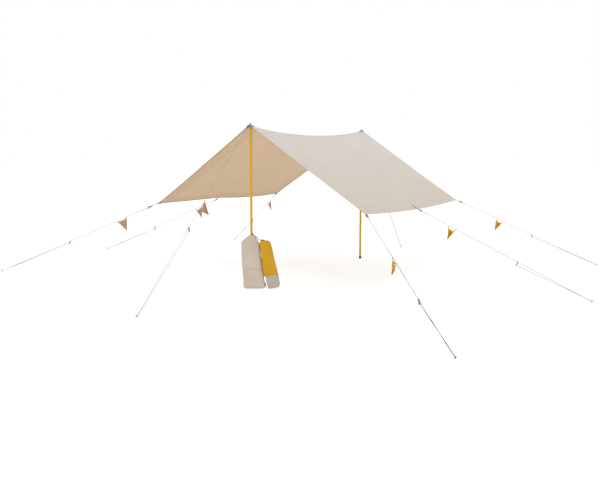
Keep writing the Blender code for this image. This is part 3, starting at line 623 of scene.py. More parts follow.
# The canopy's cloth
def lines_over(low, high, wanted):
    """Grid lines, closer together near both ends, with some wanted lines among them."""
    wanted = sorted({low, high, *wanted})
    lines, at = [], low
    while at < high:
        step = EDGE_STEP if min(at - low, high - at) < EDGE_REACH else CLOTH_STEP
        if min(abs(at - w) for w in wanted) > 0.4 * step:
            lines.append(at)
        at += step
    return np.array(sorted(lines + wanted))


def fold_line(at, gap=0.0005):
    """Two grid lines beside each other, for a step in the cloth's thickness."""
    return [at - gap, at + gap]


back_wanted = [0.002, 0.008]
for edge_gap in (HEM_WIDTH, END_BAND):
    back_wanted += fold_line(edge_gap)
back_wanted += [CANOPY_LENGTH - x for x in back_wanted]
down_wanted = [0.004, SLOPE_LENGTH - 0.002, SLOPE_LENGTH - 0.008, *fold_line(RIDGE_TAPE)]
for edge_gap in (HEM_WIDTH, EAVE_BAND):
    down_wanted += fold_line(SLOPE_LENGTH - edge_gap)
across_wanted = [0.0, *down_wanted, *(-x for x in down_wanted)]
BACKS = lines_over(0.0, CANOPY_LENGTH, back_wanted)
ACROSSES = lines_over(-SLOPE_LENGTH, SLOPE_LENGTH, across_wanted)


def layers_on(back, across, value_hem, value_tape, value_band):
    """How much is sewn on to the cloth at a point."""
    end = np.minimum(back, CANOPY_LENGTH - back)
    eave = SLOPE_LENGTH - np.abs(across)
    extra = np.where(np.minimum(end, eave) < HEM_WIDTH, value_hem, 0.0)
    extra = extra + np.where(np.abs(across) < RIDGE_TAPE, value_tape, 0.0)
    return extra + np.where((end < END_BAND) | (eave < EAVE_BAND), value_band, 0.0)


class Cloth:
    """The canopy's two faces as grids of points, and what lies between those points."""

    def __init__(self):
        across, back = np.meshgrid(ACROSSES, BACKS, indexing="ij")
        self.back, self.across = back, across
        outer = layers_on(back, across, HEM_THICKNESS, HEM_THICKNESS, 0.0)
        inner = CLOTH_THICKNESS + layers_on(back, across, HEM_THICKNESS, HEM_THICKNESS, BAND_THICKNESS)
        self.faces = {"out": over_ridge(back, across, outer), "in": over_ridge(back, across, -inner)}
        self.normals = {}
        for key, grid in self.faces.items():
            down, along = np.gradient(grid, axis=(0, 1))
            self.normals[key] = unit(np.cross(down, along)) * (1.0 if key == "out" else -1.0)

    def at(self, back, across, lift, face="out"):
        """Points a lift off one face of the cloth, and the normals there."""
        back, across = np.broadcast_arrays(np.asarray(back, dtype=float), np.asarray(across, dtype=float))
        i = np.clip(np.searchsorted(ACROSSES, across) - 1, 0, len(ACROSSES) - 2)
        j = np.clip(np.searchsorted(BACKS, back) - 1, 0, len(BACKS) - 2)
        u = ((across - ACROSSES[i]) / (ACROSSES[i + 1] - ACROSSES[i]))[..., None]
        v = ((back - BACKS[j]) / (BACKS[j + 1] - BACKS[j]))[..., None]
        results = []
        for grid in (self.faces[face], self.normals[face]):
            near = grid[i, j] * (1.0 - v) + grid[i, j + 1] * v
            far = grid[i + 1, j] * (1.0 - v) + grid[i + 1, j + 1] * v
            results.append(near * (1.0 - u) + far * u)
        normal = unit(results[1])
        return results[0] + lift * normal, normal

    def make(self):
        rows, columns = self.back.shape
        top, under = self.faces["out"].reshape(-1, 3), self.faces["in"].reshape(-1, 3)
        quads, ring = grid_faces(rows, columns), np.array(rim(rows, columns))
        centres = [(lines[:-1] + lines[1:]) / 2.0 for lines in (ACROSSES, BACKS)]
        across, back = np.meshgrid(*centres, indexing="ij")
        hem = layers_on(back, across, 1.0, 1.0, 0.0).ravel() > 0.0
        band = layers_on(back, across, 1.0, 0.0, 1.0).ravel() > 0.0
        edge = layers_on(back, across, 1.0, 0.0, 0.0).ravel() > 0.0
        # The cloth's edge is rounded by one more line of points, just outside it.
        middle = (top[ring] + under[ring]) / 2.0
        heading = middle - middle.mean(axis=0)
        edge_way = unit(np.roll(middle, -1, axis=0) - np.roll(middle, 1, axis=0))
        out_way = unit(heading - np.sum(heading * edge_way, 1, keepdims=True) * edge_way)
        points = np.concatenate([top, under, middle + EDGE_ROUNDING * out_way])
        count, first = len(top), 2 * len(top)
        faces = [*quads[:, ::-1], *(quads + count)]
        # Index 4 is the inside hem's painted shade, on the inside edge strip and the inner half of the
        # rounded edge.
        materials = list(np.where(hem, 3, 0)) + list(np.where(edge, 4, np.where(band, 2, 1)))
        for k, a in enumerate(ring):
            m = (k + 1) % len(ring)
            b = ring[m]
            faces += [(a, b, first + m, first + k), (first + k, first + m, b + count, a + count)]
            materials += [3, 4]
        flat = np.stack([self.back, self.across], -1).reshape(-1, 2)
        uvs = np.concatenate([flat, flat, flat[ring]])
        finishes = [canvas_out, canvas_in, canvas_band, canvas_hem, hem_in_shade]
        made = new_object("canopy_cloth", points, faces, uvs, finishes, materials)
        return dress(made, "canvas", "roof_panel_left", "roof_panel_right")


cloth = Cloth()
canopy = cloth.make()


# Stitches and patches
def seam(parts, path, face, lift=SEAM_LIFT, material=0):
    """Stitches along a path over the canopy."""
    path = np.array(path, dtype=float)
    along = distances(path)
    middles = np.arange(STITCH_PITCH / 2.0, along[-1], STITCH_PITCH)
    here, ahead, behind = (cloth.at(*(np.interp(middles + gap, along, way) for way in path.T), lift, face)
                           for gap in (0.0, HEADING_STEP, -HEADING_STEP))
    grains(parts, here[0], unit(ahead[0] - behind[0]), here[1], STITCH_LENGTH, material)


def grains(parts, point, heading, normal, size, material=0):
    """Small grains with eight sides each, which lie along their headings."""
    beside = np.cross(heading, normal)
    reach, wide = size / 2.0, STITCH_RADIUS
    corners = np.stack([point + reach * heading, point + wide * beside, point + wide * normal,
                        point - wide * beside, point - wide * normal, point - reach * heading], 1)
    base = np.array([(0, 1, 2), (0, 2, 3), (0, 3, 4), (0, 4, 1),
                     (5, 2, 1), (5, 3, 2), (5, 4, 3), (5, 1, 4)])
    faces = (base[None] + 6 * np.arange(len(point))[:, None, None]).reshape(-1, 3)
    parts.add(corners.reshape(-1, 3), faces, material=material)


def path_over_ridge(low, high, side):
    """Once round, between two places along the ridge and as far down on both its sides."""
    return [(low, -side), (low, 0.0), (low, side), (high, side), (high, 0.0), (high, -side), (low, -side)]


def from_end(back_end, distance):
    """A place along the ridge, by its distance from the front end (0) or the rear end (1)."""
    return distance if back_end == 0 else CANOPY_LENGTH - distance


def sew_canopy(name, face, thread, *replaced):
    parts = Parts()
    gap, clear = 0.004, 0.02
    hem = HEM_WIDTH - gap
    seam(parts, path_over_ridge(hem, CANOPY_LENGTH - hem, SLOPE_LENGTH - hem), face)
    for back in (END_BAND - gap, CANOPY_LENGTH - (END_BAND - gap)):
        seam(parts, [(back, -SLOPE_LENGTH + clear), (back, 0.0), (back, SLOPE_LENGTH - clear)], face)
    for across, start in ((SLOPE_LENGTH - EAVE_BAND + gap, clear), (SLOPE_LENGTH - EAVE_MIDDLE_ROW, clear),
                          (RIDGE_TAPE - gap, gap)):
        for side in (LEFT, RIGHT):
            seam(parts, [(start, side * across), (CANOPY_LENGTH - start, side * across)], face)
    return parts.make(name, [thread], "canvas", *replaced)


stitches_out = sew_canopy("canopy_stitches_outside", "out", thread_out, "ridge_seam")
stitches_in = sew_canopy("canopy_stitches_inside", "in", thread_in)


def cloth_patch(parts, corners, face, thickness, rows, lift, material=0):
    """A four- or three-sided patch on the canopy, given by its corners (back, across)."""
    a, b, c, d = (np.array(p, dtype=float) for p in corners)
    u, v = np.meshgrid(np.linspace(0.0, 1.0, rows), np.linspace(0.0, 1.0, rows), indexing="ij")
    u, v = u[..., None], v[..., None]
    flat = (a * (1 - u) + b * u) * (1 - v) + (d * (1 - u) + c * u) * v
    bottom, normal = cloth.at(flat[..., 0], flat[..., 1], lift, face)
    points = np.concatenate([layer.reshape(-1, 3) for layer in (bottom, bottom + thickness * normal)])
    parts.add(points, layered_faces(rows, rows), np.tile(flat.reshape(-1, 2), (2, 1)), material)


def corner_path(leg, back_end, side, gap):
    """The three sides of a triangular patch at a corner of the canopy, a gap inside its edge."""
    near, far = from_end(back_end, gap), from_end(back_end, leg - 2.0 * gap)
    edge = side * (SLOPE_LENGTH - gap)
    return [(near, edge), (far, edge), (near, side * (SLOPE_LENGTH - leg + 2.0 * gap)), (near, edge)]


patches = Parts()
for back_end in (0, 1):
    for side in (LEFT, RIGHT):
        near, edge = from_end(back_end, PATCH_GAP), side * (SLOPE_LENGTH - PATCH_GAP)
        for leg, face, thickness, rows, material in ((PATCH_LEG, "in", 0.0008, 16, 1),
                                                     (OUTER_PATCH_LEG, "out", 0.0007, 24, 0)):
            far = from_end(back_end, leg)
            corners = [(near, edge), (far, edge), (far, edge), (near, side * (SLOPE_LENGTH - leg))]
            cloth_patch(patches, corners, face, thickness, rows, PATCH_LIFT, material)
        seam(patches, corner_path(OUTER_PATCH_LEG, back_end, side, 0.006), "out", 0.0016, 2)
        seam(patches, corner_path(PATCH_LEG, back_end, side, 0.005), "in", 0.0017, 2)
corner_patches = patches.make("corner_patches", [canvas_hem, dark_webbing, thread_out], "canvas")


# Guy lines
def axes_matrix(x_axis, y_axis, z_axis, origin):
    matrix = np.eye(4)
    matrix[:3] = np.stack([x_axis, y_axis, z_axis, origin], 1)
    return matrix


def line_frame(place):
    """A line's own axes: X runs down the line, Y is level and Z is up from the line."""
    joint = JOINTS[f"pennant_{place}_swing"]
    down_line = unit(np.array(joint["axis"], dtype=float))
    start = np.array(joint["pos_m"], dtype=float) - GUYS[place]["pennant"] * down_line
    level = unit(np.cross(UP, down_line))
    return axes_matrix(down_line, level, np.cross(down_line, level), start)


def place_on(matrix, points):
    points = np.asarray(points, dtype=float)
    return points @ matrix[:3, :3].T + matrix[:3, 3]


def cloth_place(point):
    """Which (back, across) of the canopy lies at a point's x and y."""
    x, y = point[0], point[1]
    side = RIGHT if x > 0.0 else LEFT
    t, s = (y + RIDGE_OVERHANG) / CANOPY_LENGTH, 0.9
    for _ in range(8):
        eave = eave_curve(side, np.array(t))
        s = min(abs(x / eave[0]), 1.0)
        form = slope_form(side, np.array(t), np.array(s))
        t = min(max(t + (y - form[1]) / CANOPY_LENGTH, 0.0), 1.0)
    return t * CANOPY_LENGTH, side * s * SLOPE_LENGTH


def turned(matrix, degrees):
    """A line's axes, turned about the line."""
    c, s = math.cos(math.radians(degrees)), math.sin(math.radians(degrees))
    x_axis, y_axis, z_axis, start = matrix[:3].T
    return axes_matrix(x_axis, c * y_axis + s * z_axis, c * z_axis - s * y_axis, start)


def strap_path(guy, matrix):
    """The webbing's middle line, its axes across and upward, and its scale."""
    points, widths = [], []
    heading, start = matrix[:3, 0], matrix[:3, 3]
    if guy["side"] == 0:
        for back in np.linspace(from_end(guy["back"], 0.10), from_end(guy["back"], 0.001), 12):
            points.append(cloth.at(back, 0.0, STRAP_LIFT + 0.0012)[0])
            widths.append((1.0, 0.0, 0.0))
    else:
        flat = unit(np.array((heading[0], heading[1], 0.0)))
        on_canopy = STRAP_ON_CANOPY["middle" if guy["back"] == 0.5 else "corner"]
        for gap in np.linspace(on_canopy, 0.002, 13):
            point, normal = cloth.at(*cloth_place(start - gap * flat), STRAP_LIFT)
            points.append(point)
            widths.append(np.cross(normal, flat))
    edge = len(points)
    bar = guy["strap"] + BUCKLE_BARS[0][0]
    near_bar = bar - 0.004

    def lay(x, side):
        """One point of the webbing on its way to the buckle's bar (1) or back under it (-1)."""
        share = smooth_step(bar - 0.030, near_bar, x)
        axes = turned(matrix, guy["twist"] * smooth_step(TWIST_START, max(bar, TWIST_START + 0.01), x))
        points.append(place_on(axes, (x, 0.0, side * (0.0010 + 0.0026 * share))))
        widths.append(axes[:3, 1])

    for x in np.linspace(0.012, near_bar, 6):
        lay(x, 1.0)
    axes = turned(matrix, guy["twist"])
    for x, z in arc(70.0, -70.0, 8, WEBBING_BEND_RADIUS):
        points.append(place_on(axes, (bar + x, 0.0, z)))
        widths.append(axes[:3, 1])
    for x in np.linspace(near_bar, max(bar - 0.034, 0.014), 6):
        lay(x, -1.0)
    points, widths = np.array(points), np.array(widths, dtype=float)
    for i in range(1, len(widths)):
        if widths[i] @ widths[i - 1] < 0.0:
            widths[i] = -widths[i]
    # The webbing turns off the canopy in a bend, not at a corner.
    for _ in range(3):
        for i in range(edge - 2, edge + 3):
            points[i] = (points[i - 1] + 2.0 * points[i] + points[i + 1]) / 4.0
            widths[i] = unit(widths[i - 1] + 2.0 * widths[i] + widths[i + 1])
    tangents = unit(np.gradient(points, axis=0))
    across = unit(widths - np.sum(widths * tangents, 1, keepdims=True) * tangents)
    away = (points - start) @ heading
    scales = guy["wedge"] + (1.0 - guy["wedge"]) * smooth_step(0.0, WEDGE_REACH, away)
    return points, across, np.cross(tangents, across), scales


def make_tackle(place, guy, matrix):
    """What joins a line to the canopy: webbing, buckle, sleeve and the knot at its end."""
    parts = Parts()
    points, across, upward, scales = strap_path(guy, matrix)
    parts.add(*sweep(points, across, upward, tape_profile(STRAP_WIDTH, STRAP_THICKNESS), scales))
    start, half = guy["strap"], BUCKLE_WIDTH / 2.0
    matrix = turned(matrix, guy["twist"])
    rail_scales = [0.7, 0.95, 1.0, 1.0, 1.0, 1.0, 1.0, 0.95, 0.7]
    for side in (-1.0, 1.0):
        rail = [(start + 0.0035 + (BUCKLE_LENGTH - 0.007) * k / 8.0,
                 side * (half - 0.0035 - 0.0030 * (abs(k - 4) / 4.0) ** 3), 0.0) for k in range(9)]
        rail = place_on(matrix, rail)
        parts.add(*tube(rail, BUCKLE_RAIL_RADIUS, 14, rail_scales, matrix[:3, 1]), material=1)
    for along, radius in BUCKLE_BARS:
        x, y = start + along, half - 0.004
        bar = place_on(matrix, [(x, -y, 0.0), (x, 0.0, 0.0), (x, y, 0.0)])
        parts.add(*tube(bar, radius, 14), material=1)
    sleeve_start, sleeve_end = start + BUCKLE_BARS[-1][0], start + BUCKLE_LENGTH + SLEEVE_LENGTH
    loop_end = sleeve_start + 0.024
    bend = arc(100.0, 260.0, 9, SLEEVE_LOOP_RADIUS)
    loop = [(loop_end, 0.0, 0.0022), *((sleeve_start + x, 0.0, z) for x, z in bend), (loop_end, 0.0, -0.0022)]
    parts.add(*tube(place_on(matrix, loop), 0.0019, 12), material=2)
    xs = np.linspace(sleeve_start + 0.016, sleeve_end - 0.010, 12)
    scales = [0.85, 1.0, 1.04, 1.0, 0.98, 1.0, 1.02, 1.0, 0.98, 1.0, 0.96, 0.8]
    parts.add(*tube(place_on(matrix, [(x, 0.0, 0.0) for x in xs]), SLEEVE_RADIUS, 16, scales), material=2)
    steps = 60
    for x in (sleeve_start + 0.018, sleeve_end - 0.012):
        coil = []
        for k in range(steps + 1):
            a = 2.0 * math.pi * WHIPPING_TURNS * k / steps
            coil.append((x + WHIPPING_PITCH * WHIPPING_TURNS * k / steps,
                         WHIPPING_RADIUS * math.cos(a), WHIPPING_RADIUS * math.sin(a)))
        parts.add(*tube(place_on(matrix, coil), WHIPPING_THREAD, 6), material=4)
    knot = trefoil(0.0031)
    knot[:, 0] = knot[:, 0] + sleeve_end - 0.0035
    parts.add(*tube(place_on(matrix, knot), 0.0017, 10), material=3)
    finishes = [webbing, plastic, sleeve_cloth, knot_cord, thread_out]
    return parts.make(f"tackle_{place}", finishes, "webbing", f"strap_{place}")


def line_length(matrix):
    """How far down the line its cord meets the peg, which is at one height for all pegs."""
    return (matrix[2, 3] - PEG_LINE_Z) / -matrix[2, 0]


def peg_bend(matrix):
    """The radius of the cord's bend round its peg, and the peg's lean."""
    slope = math.asin(-matrix[2, 0])
    lean = min(slope, PEG_LEAN_LIMIT)
    return CORD_RADIUS + PEG_CORD_GAP + PEG_RADIUS / math.cos(slope - lean), lean


def second_hole(guy):
    lean = math.radians(guy["lean"])
    return guy["runner"] + RUNNER_HOLE_SPACING * math.sin(lean), RUNNER_HOLE_SPACING * math.cos(lean)


def braid_of(place):
    """The front peak's line crosses the canopy's underside, where the photo shows none of
    it, so its whole cord is as pale as the cloth behind it."""
    # Every other line gets the darker cord, whose colour holds painted shade.
    return pale_braid if place == "front_peak" else shaded_cord_braid


def make_cords(place, guy, matrix):
    """The taut cord to the peg and round it, and its way back to the runner's other hole."""
    bend, _ = peg_bend(matrix)
    length, level = line_length(matrix), matrix[:3, 2]
    start = guy["strap"] + BUCKLE_LENGTH + SLEEVE_LENGTH - 0.006
    path = [(start, 0.0, 0.0), (length * 0.5, 0.0, 0.0), (length - 0.004, 0.0, 0.0)]
    path += [(length + y, bend - x, 0.0) for x, y in arc(0.0, 180.0, 15, bend)]
    cord = tube(place_on(matrix, path), CORD_RADIUS, 10, level=level)
    dress(new_object(f"cord_{place}", *cord, [braid_of(place)]), "cord", f"guy_{place}")
    hole, drop = second_hole(guy)
    back_end, runner_end = (length, 2.0 * bend, 0.0), (hole, 0.0, -drop)
    ends = place_on(matrix, [back_end, np.add(back_end, runner_end) / 2.0, runner_end])
    strand = tube(ends, CORD_RADIUS, 10, level=level)
    returned = dress(new_object(f"cord_back_{place}", *strand, [braid_of(place)]), "cord")
    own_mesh(returned)


def carve(obj, tools):
    """Cuts the tools' shapes out of a piece and removes the tools."""
    for tool in tools:
        cut = obj.modifiers.new("cut", "BOOLEAN")
        cut.operation, cut.solver, cut.object = "DIFFERENCE", "EXACT", tool
    bpy.context.view_layer.update()
    graph = bpy.context.evaluated_depsgraph_get()
    finished = bpy.data.meshes.new_from_object(obj.evaluated_get(graph))
    obj.modifiers.clear()
    obj.data = finished
    for tool in tools:
        bpy.data.objects.remove(tool, do_unlink=True)
    finished.shade_smooth()
    finished.set_sharp_from_angle(angle=math.radians(40.0))


def make_runner(place, guy, matrix):
    """A flat wooden bar on the line, with rounded edges and a hole for each strand."""
    lean, body = math.radians(guy["lean"]), f"runner_{place}"
    long_way = np.array((math.sin(lean), 0.0, -math.cos(lean)))
    thick_way = np.array((math.cos(lean), 0.0, math.sin(lean)))
    margin = (RUNNER_LENGTH - RUNNER_HOLE_SPACING) / 2.0
    end_radius = RUNNER_WIDTH / 2.0
    half_ends = ((-margin + end_radius, 90.0), (RUNNER_HOLE_SPACING + margin - end_radius, 270.0))
    layers = [(-1.0, 0.0022), (-0.90, 0.0009), (-0.66, 0.0), (0.66, 0.0), (0.90, 0.0009), (1.0, 0.0022)]
    points, uvs = [], []
    for level, inset in layers:
        for middle, first in half_ends:
            for x, wide in arc(first, first + 180.0, 17, end_radius - inset):
                along = middle + x
                points.append(along * long_way + wide * np.array((0.0, 1.0, 0.0))
                              + level * RUNNER_THICKNESS / 2.0 * thick_way)
                uvs.append((along, wide + level * 0.004))
    faces = capped_faces(len(layers), len(points) // len(layers))
    runner = new_object(f"runner_bar_{place}", points, faces, uvs, [wood])
    reach = RUNNER_THICKNESS / 2.0 / math.cos(lean) + 0.02
    tools = []
    for middle in (0.0 * long_way, RUNNER_HOLE_SPACING * long_way):
        hole = [middle - (reach, 0.0, 0.0), middle, middle + (reach, 0.0, 0.0)]
        tools.append(new_object("hole", *tube(hole, RUNNER_HOLE_RADIUS, 20), [wood]))
    carve(runner, tools)
    runner.data.transform(Matrix(matrix.tolist()) @ Matrix.Translation((guy["runner"], 0.0, 0.0)))
    dress(runner, "runner", body, body=body)
    hole, drop = second_hole(guy)
    face = hole - RUNNER_THICKNESS / 2.0 / math.cos(lean)
    knot = trefoil(0.0024)
    knot[:, 0] += face - 0.0042
    knot[:, 2] -= drop
    tail = [(face + 0.004, 0.0, -drop), (face - 0.006, 0.0, -drop), (face - 0.012, 0.0008, -drop - 0.001),
            (face - 0.018, 0.0020, -drop - 0.003)]
    ending = Parts()
    ending.add(*tube(place_on(matrix, knot), 0.0015, 10))
    ending.add(*tube(place_on(matrix, tail), CORD_RADIUS * 0.95, 10))
    ending.make(f"cord_knot_{place}", [braid_of(place)], "cord", body=body)


def pennant_form(guy, u, v, turn, depth):
    """The middle of the hung cloth, in the line's axes, with folds of a depth.

    The ties hold it closer together than it is cut, so its top edge drops between them and
    the spare cloth stands out in folds, flat only where the ties grip it.
    """
    x = (0.5 - u) * guy["span"] * (1.0 - v)
    top = -PENNANT_DROP - guy["sag"] * half_bump(u)
    z = top * (1.0 - v) + (-PENNANT_DROP - PENNANT_HEIGHT) * v
    gripped = 0.10 * (1.0 - v) ** 2
    free = smooth_step(gripped, gripped + 0.25, np.minimum(u, 1.0 - u))
    pleats = np.sin(2.0 * math.pi * (1.3 * u + 0.4 * v) + turn)
    drops = np.sin(2.0 * math.pi * 1.3 * v + 0.6 + turn)
    y = depth * (1.0 - v) ** 0.6 * free * (0.75 * pleats + 0.55 * drops * half_bump(u))
    return np.stack([x, y, z], -1)


def grid_area(grid):
    """The area of a grid of points, as two triangles for each cell."""
    a, b, c, d = grid[:-1, :-1], grid[1:, :-1], grid[1:, 1:], grid[:-1, 1:]
    halves = (np.cross(b - a, c - a), np.cross(c - a, d - a))
    return 0.5 * sum(np.linalg.norm(half, axis=-1).sum() for half in halves)


def fold_depth(guy, u, v, turn, area):
    """The depth of the folds that leaves the cloth its cut area, up to a limit."""
    low, high = 0.0, PENNANT_FOLD_LIMIT
    for _ in range(24):
        middle = (low + high) / 2.0
        if grid_area(pennant_form(guy, u, v, turn, middle)) < area:
            low = middle
        else:
            high = middle
    return low


def make_pennant(place, guy, matrix):
    """A two-coloured cloth triangle with hems, which hangs by two tape loops."""
    body = f"pennant_{place}"
    us = np.array(sorted({*np.linspace(0.0, 1.0, 41), 0.045, 0.955}))
    vs = np.array(sorted({*np.linspace(0.0, 0.96, 41), 0.055, 0.985}))
    v, u = np.meshgrid(vs, us, indexing="ij")
    turn = math.radians(PENNANT_WAVE_TURN * list(GUYS).index(place))
    cut_area = 0.5 * PENNANT_CUT * PENNANT_HEIGHT
    middle = pennant_form(guy, u, v, turn, fold_depth(guy, u, v, turn, cut_area))
    normal = unit(np.cross(*np.gradient(middle, axis=(0, 1))))
    normal = normal * np.sign(np.sum(normal[..., 1]))
    hem = (u < 0.047) | (u > 0.953) | (v < 0.057)
    half = np.where(hem, PENNANT_HEM_HALF_THICKNESS, PENNANT_HALF_THICKNESS)[..., None]
    points = np.concatenate([(middle + side * half * normal).reshape(-1, 3) for side in (1.0, -1.0)])
    points[:, 0] += guy["pennant"]
    flat = np.stack([(0.5 - u) * (1.0 - v) * PENNANT_CUT, v * PENNANT_HEIGHT], -1).reshape(-1, 2)
    faces = layered_faces(*v.shape)
    tan_faces = (len(vs) - 1) * (len(us) - 1)
    face_materials = [1] * tan_faces + [0] * (len(faces) - tan_faces)
    pennant = new_object(f"flag_{place}", place_on(matrix, points), faces, np.concatenate([flat, flat]),
                         [pennant_yellow, pennant_tan], face_materials)
    dress(pennant, "pennant", body, body=body)
    ties = Parts()
    low = -PENNANT_DROP - 0.010
    loop = [(0.0017, low), (0.0016, low + 0.006), (0.0026, -0.0062), *arc(-40.0, 220.0, 17, TIE_LOOP_RADIUS),
            (-0.0026, -0.0062), (-0.0016, low + 0.006), (-0.0017, low)]
    for side in (-1.0, 1.0):
        tie_x = guy["pennant"] + side * (guy["span"] / 2.0 - 0.006)
        points = place_on(matrix, [(tie_x, y, z) for y, z in loop])
        tangents = unit(np.gradient(points, axis=0))
        across = np.tile(matrix[:3, 0], (len(points), 1))
        ties.add(*sweep(points, across, np.cross(tangents, across), tape_profile(*TIE_TAPE)))
    tied = ties.make(f"flag_ties_{place}", [tape], "pennant", body=body)


def make_peg(place, guy, matrix):
    """A steel peg with a hooked head, cut off at the ground."""
    bend, lean = peg_bend(matrix)
    outward = unit(np.array((matrix[0, 0], matrix[1, 0], 0.0)))
    shaft = math.sin(lean) * outward + math.cos(lean) * np.array(UP)
    beside = unit(np.cross(shaft, outward))
    middle = place_on(matrix, (line_length(matrix), bend, 0.0))
    axes = axes_matrix(np.cross(beside, shaft), beside, shaft, middle)
    ground = -axes[2, 3] / shaft[2]
    hook_end = 2.0 * PEG_HOOK_RADIUS
    path = [(0.0, 0.0, ground), (0.0, 0.0, ground / 2.0), (0.0, 0.0, 0.0), (0.0, 0.0, PEG_NECK - 0.001)]
    path += [(PEG_HOOK_RADIUS + x, 0.0, PEG_NECK + z) for x, z in arc(172.0, 5.0, 14, PEG_HOOK_RADIUS)]
    path += [(hook_end, 0.0, PEG_NECK - below) for below in (0.003, 0.0055, 0.0062)]
    scales = [1.0] * (len(path) - 2) + [0.92, 0.6]
    sides = 20
    points, faces, uvs = tube(place_on(axes, path), PEG_RADIUS, sides, scales, beside)
    points[:sides, 2] = 0.0
    dress(new_object(f"stake_{place}", points, faces, uvs, [steel]), "peg", f"peg_{place}")


for place, guy in GUYS.items():
    matrix = line_frame(place)
    make_tackle(place, guy, matrix)
    for make in (make_cords, make_runner, make_pennant, make_peg):
        make(place, guy, matrix)


# Poles
def lathed(name, profile, y, material, slot, replaced):
    points, faces, uvs = lathe(profile, 64)
    points[:, 1] += y
    dress(new_object(name, points, faces, uvs, [material]), slot, replaced)


POLE_TOP = 2.07197
POLE_TUBE = [(POLE_RADIUS - 0.0012, POLE_TOP - 0.0033), (POLE_RADIUS - 0.0003, POLE_TOP - 0.0036),
             (POLE_RADIUS, POLE_TOP - 0.0044), (POLE_RADIUS, 1.4), (POLE_RADIUS, 0.7), (POLE_RADIUS, 0.012)]
POLE_FOOT = [(POLE_RADIUS + 0.0002, 0.0375), (0.0190, 0.0378), (0.0198, 0.0368)]
for rib in range(5):
    z = 0.0325 - 0.0055 * rib
    POLE_FOOT += [(0.0200, z + 0.0016), (0.0191, z + 0.0007), (0.0191, z - 0.0007), (0.0200, z - 0.0016)]
POLE_FOOT += [(0.0200, 0.0025), (0.0193, 0.0007), (0.0180, 0.0)]
POLE_TIP = [(0.0012, 2.1160), (0.0026, 2.1154), (0.0036, 2.1142), (TIP_PIN_RADIUS, 2.1125),
            (TIP_PIN_RADIUS, POLE_TOP), (POLE_RADIUS - 0.0012, POLE_TOP),
            (POLE_RADIUS - 0.0003, POLE_TOP - 0.0004), (POLE_RADIUS, POLE_TOP - 0.0010),
            (POLE_RADIUS, POLE_TOP - 0.0026), (POLE_RADIUS - 0.0006, POLE_TOP - 0.0032),
            (POLE_RADIUS - 0.0018, POLE_TOP - 0.033)]
for place, y in (("front", 0.0), ("rear", POLE_SPAN)):
    lathed(f"{place}_tube", POLE_TUBE, y, pole_paint, "pole", f"{place}_pole")
    lathed(f"{place}_rubber_foot", POLE_FOOT, y, rubber, "pole_foot", f"{place}_pole_foot")
    lathed(f"{place}_steel_tip", POLE_TIP, y, steel, "pole_tip", f"{place}_pole_tip")


# The peaks: webbing saddles over the ridge's ends, and a ring round each tip
def make_saddle(place, back_end):
    parts = Parts()
    low, high = sorted(from_end(back_end, distance) for distance in (0.001, SADDLE_LENGTH))
    corners = [(low, -SADDLE_HALF), (high, -SADDLE_HALF), (high, SADDLE_HALF), (low, SADDLE_HALF)]
    for face in ("out", "in"):
        cloth_patch(parts, corners, face, 0.0012, 21, 0.0004)
        for inset in (0.004, 0.010):
            ends = sorted(from_end(back_end, distance) for distance in (inset, SADDLE_LENGTH - inset))
            seam(parts, path_over_ridge(*ends, SADDLE_HALF - inset), face, 0.0020, 1)
    pole_back, sides = from_end(back_end, RIDGE_OVERHANG), 24
    angles = full_turn(sides)
    for face, lift, radius in (("out", 0.0026, 0.0095), ("in", 0.0022, 0.0080)):
        ring, _ = cloth.at(pole_back, 0.0, lift, face)
        wide = [ring + radius * np.array((math.cos(a), math.sin(a), 0.0)) for a in angles]
        parts.add(*closed_tube(wide, 0.0019, 10), material=2)
    rows = []
    for share in np.linspace(0.0, 1.0, 9):
        radius = 0.0055 + 0.0125 * (1.0 - share) ** 1.3
        foot, _ = cloth.at(pole_back + radius * np.sin(angles), radius * np.cos(angles), 0.0018)
        foot[:, 2] = foot[:, 2] * (1.0 - share) + BOOT_TOP * share
        rows.append(foot)
    parts.add(np.concatenate(rows), capped_faces(len(rows), sides))
    return parts.make(f"saddle_{place}", [saddle_webbing, thread_out, steel], "webbing")


def closed_tube(points, radius, sides):
    """A tube along a closed, level line, such as a ring."""
    points = np.asarray(points, dtype=float)
    count = len(points)
    tangents = unit(np.roll(points, -1, axis=0) - np.roll(points, 1, axis=0))
    across = unit(np.cross(tangents, np.tile(UP, (count, 1))))
    upward = np.cross(across, tangents)
    profile = circle_profile(radius, sides)
    surface = (points[:, None, :] + profile[None, :, :1] * across[:, None, :]
               + profile[None, :, 1:] * upward[:, None, :])
    return surface.reshape(-1, 3), grid_faces(count + 1, sides, True) % (count * sides)


saddles = [make_saddle("front", 0), make_saddle("rear", 1)]


# Bags: level sections as (height, half width, half depth, right, front)
BAG_TURN = math.radians(34.0)
BAG_SQUARENESS = 0.6
TARP_BAG_SEAM = 0.256
BASE_HEM = 0.158
TARP_BAG = [
    (0.0, 0.125, 0.045, 0.038, 0.0700), (0.020, 0.143, 0.056, 0.036, 0.0775),
    (0.100, 0.137, 0.060, 0.030, 0.0767),
    (0.300, 0.130, 0.061, 0.009, 0.0777), (0.480, 0.123, 0.058, -0.006, 0.0747),
    (0.560, 0.1185, 0.050, -0.0105, 0.0670), (0.594, 0.1150, 0.044, -0.0150, 0.0610),
    (0.620, 0.0955, 0.038, -0.0155, 0.0550), (0.640, 0.0760, 0.032, -0.0090, 0.0490),
    (0.660, 0.0590, 0.026, -0.0010, 0.0430), (0.676, 0.0430, 0.022, 0.0080, 0.0390),
    (0.684, 0.0300, 0.018, 0.0160, 0.0370),
]
POLE_BAG_BASE = [
    (0.0, 0.062, 0.040, 0.0, 0.105), (0.020, 0.074, 0.050, 0.0, 0.105), (0.170, 0.076, 0.052, 0.0, 0.105),
]
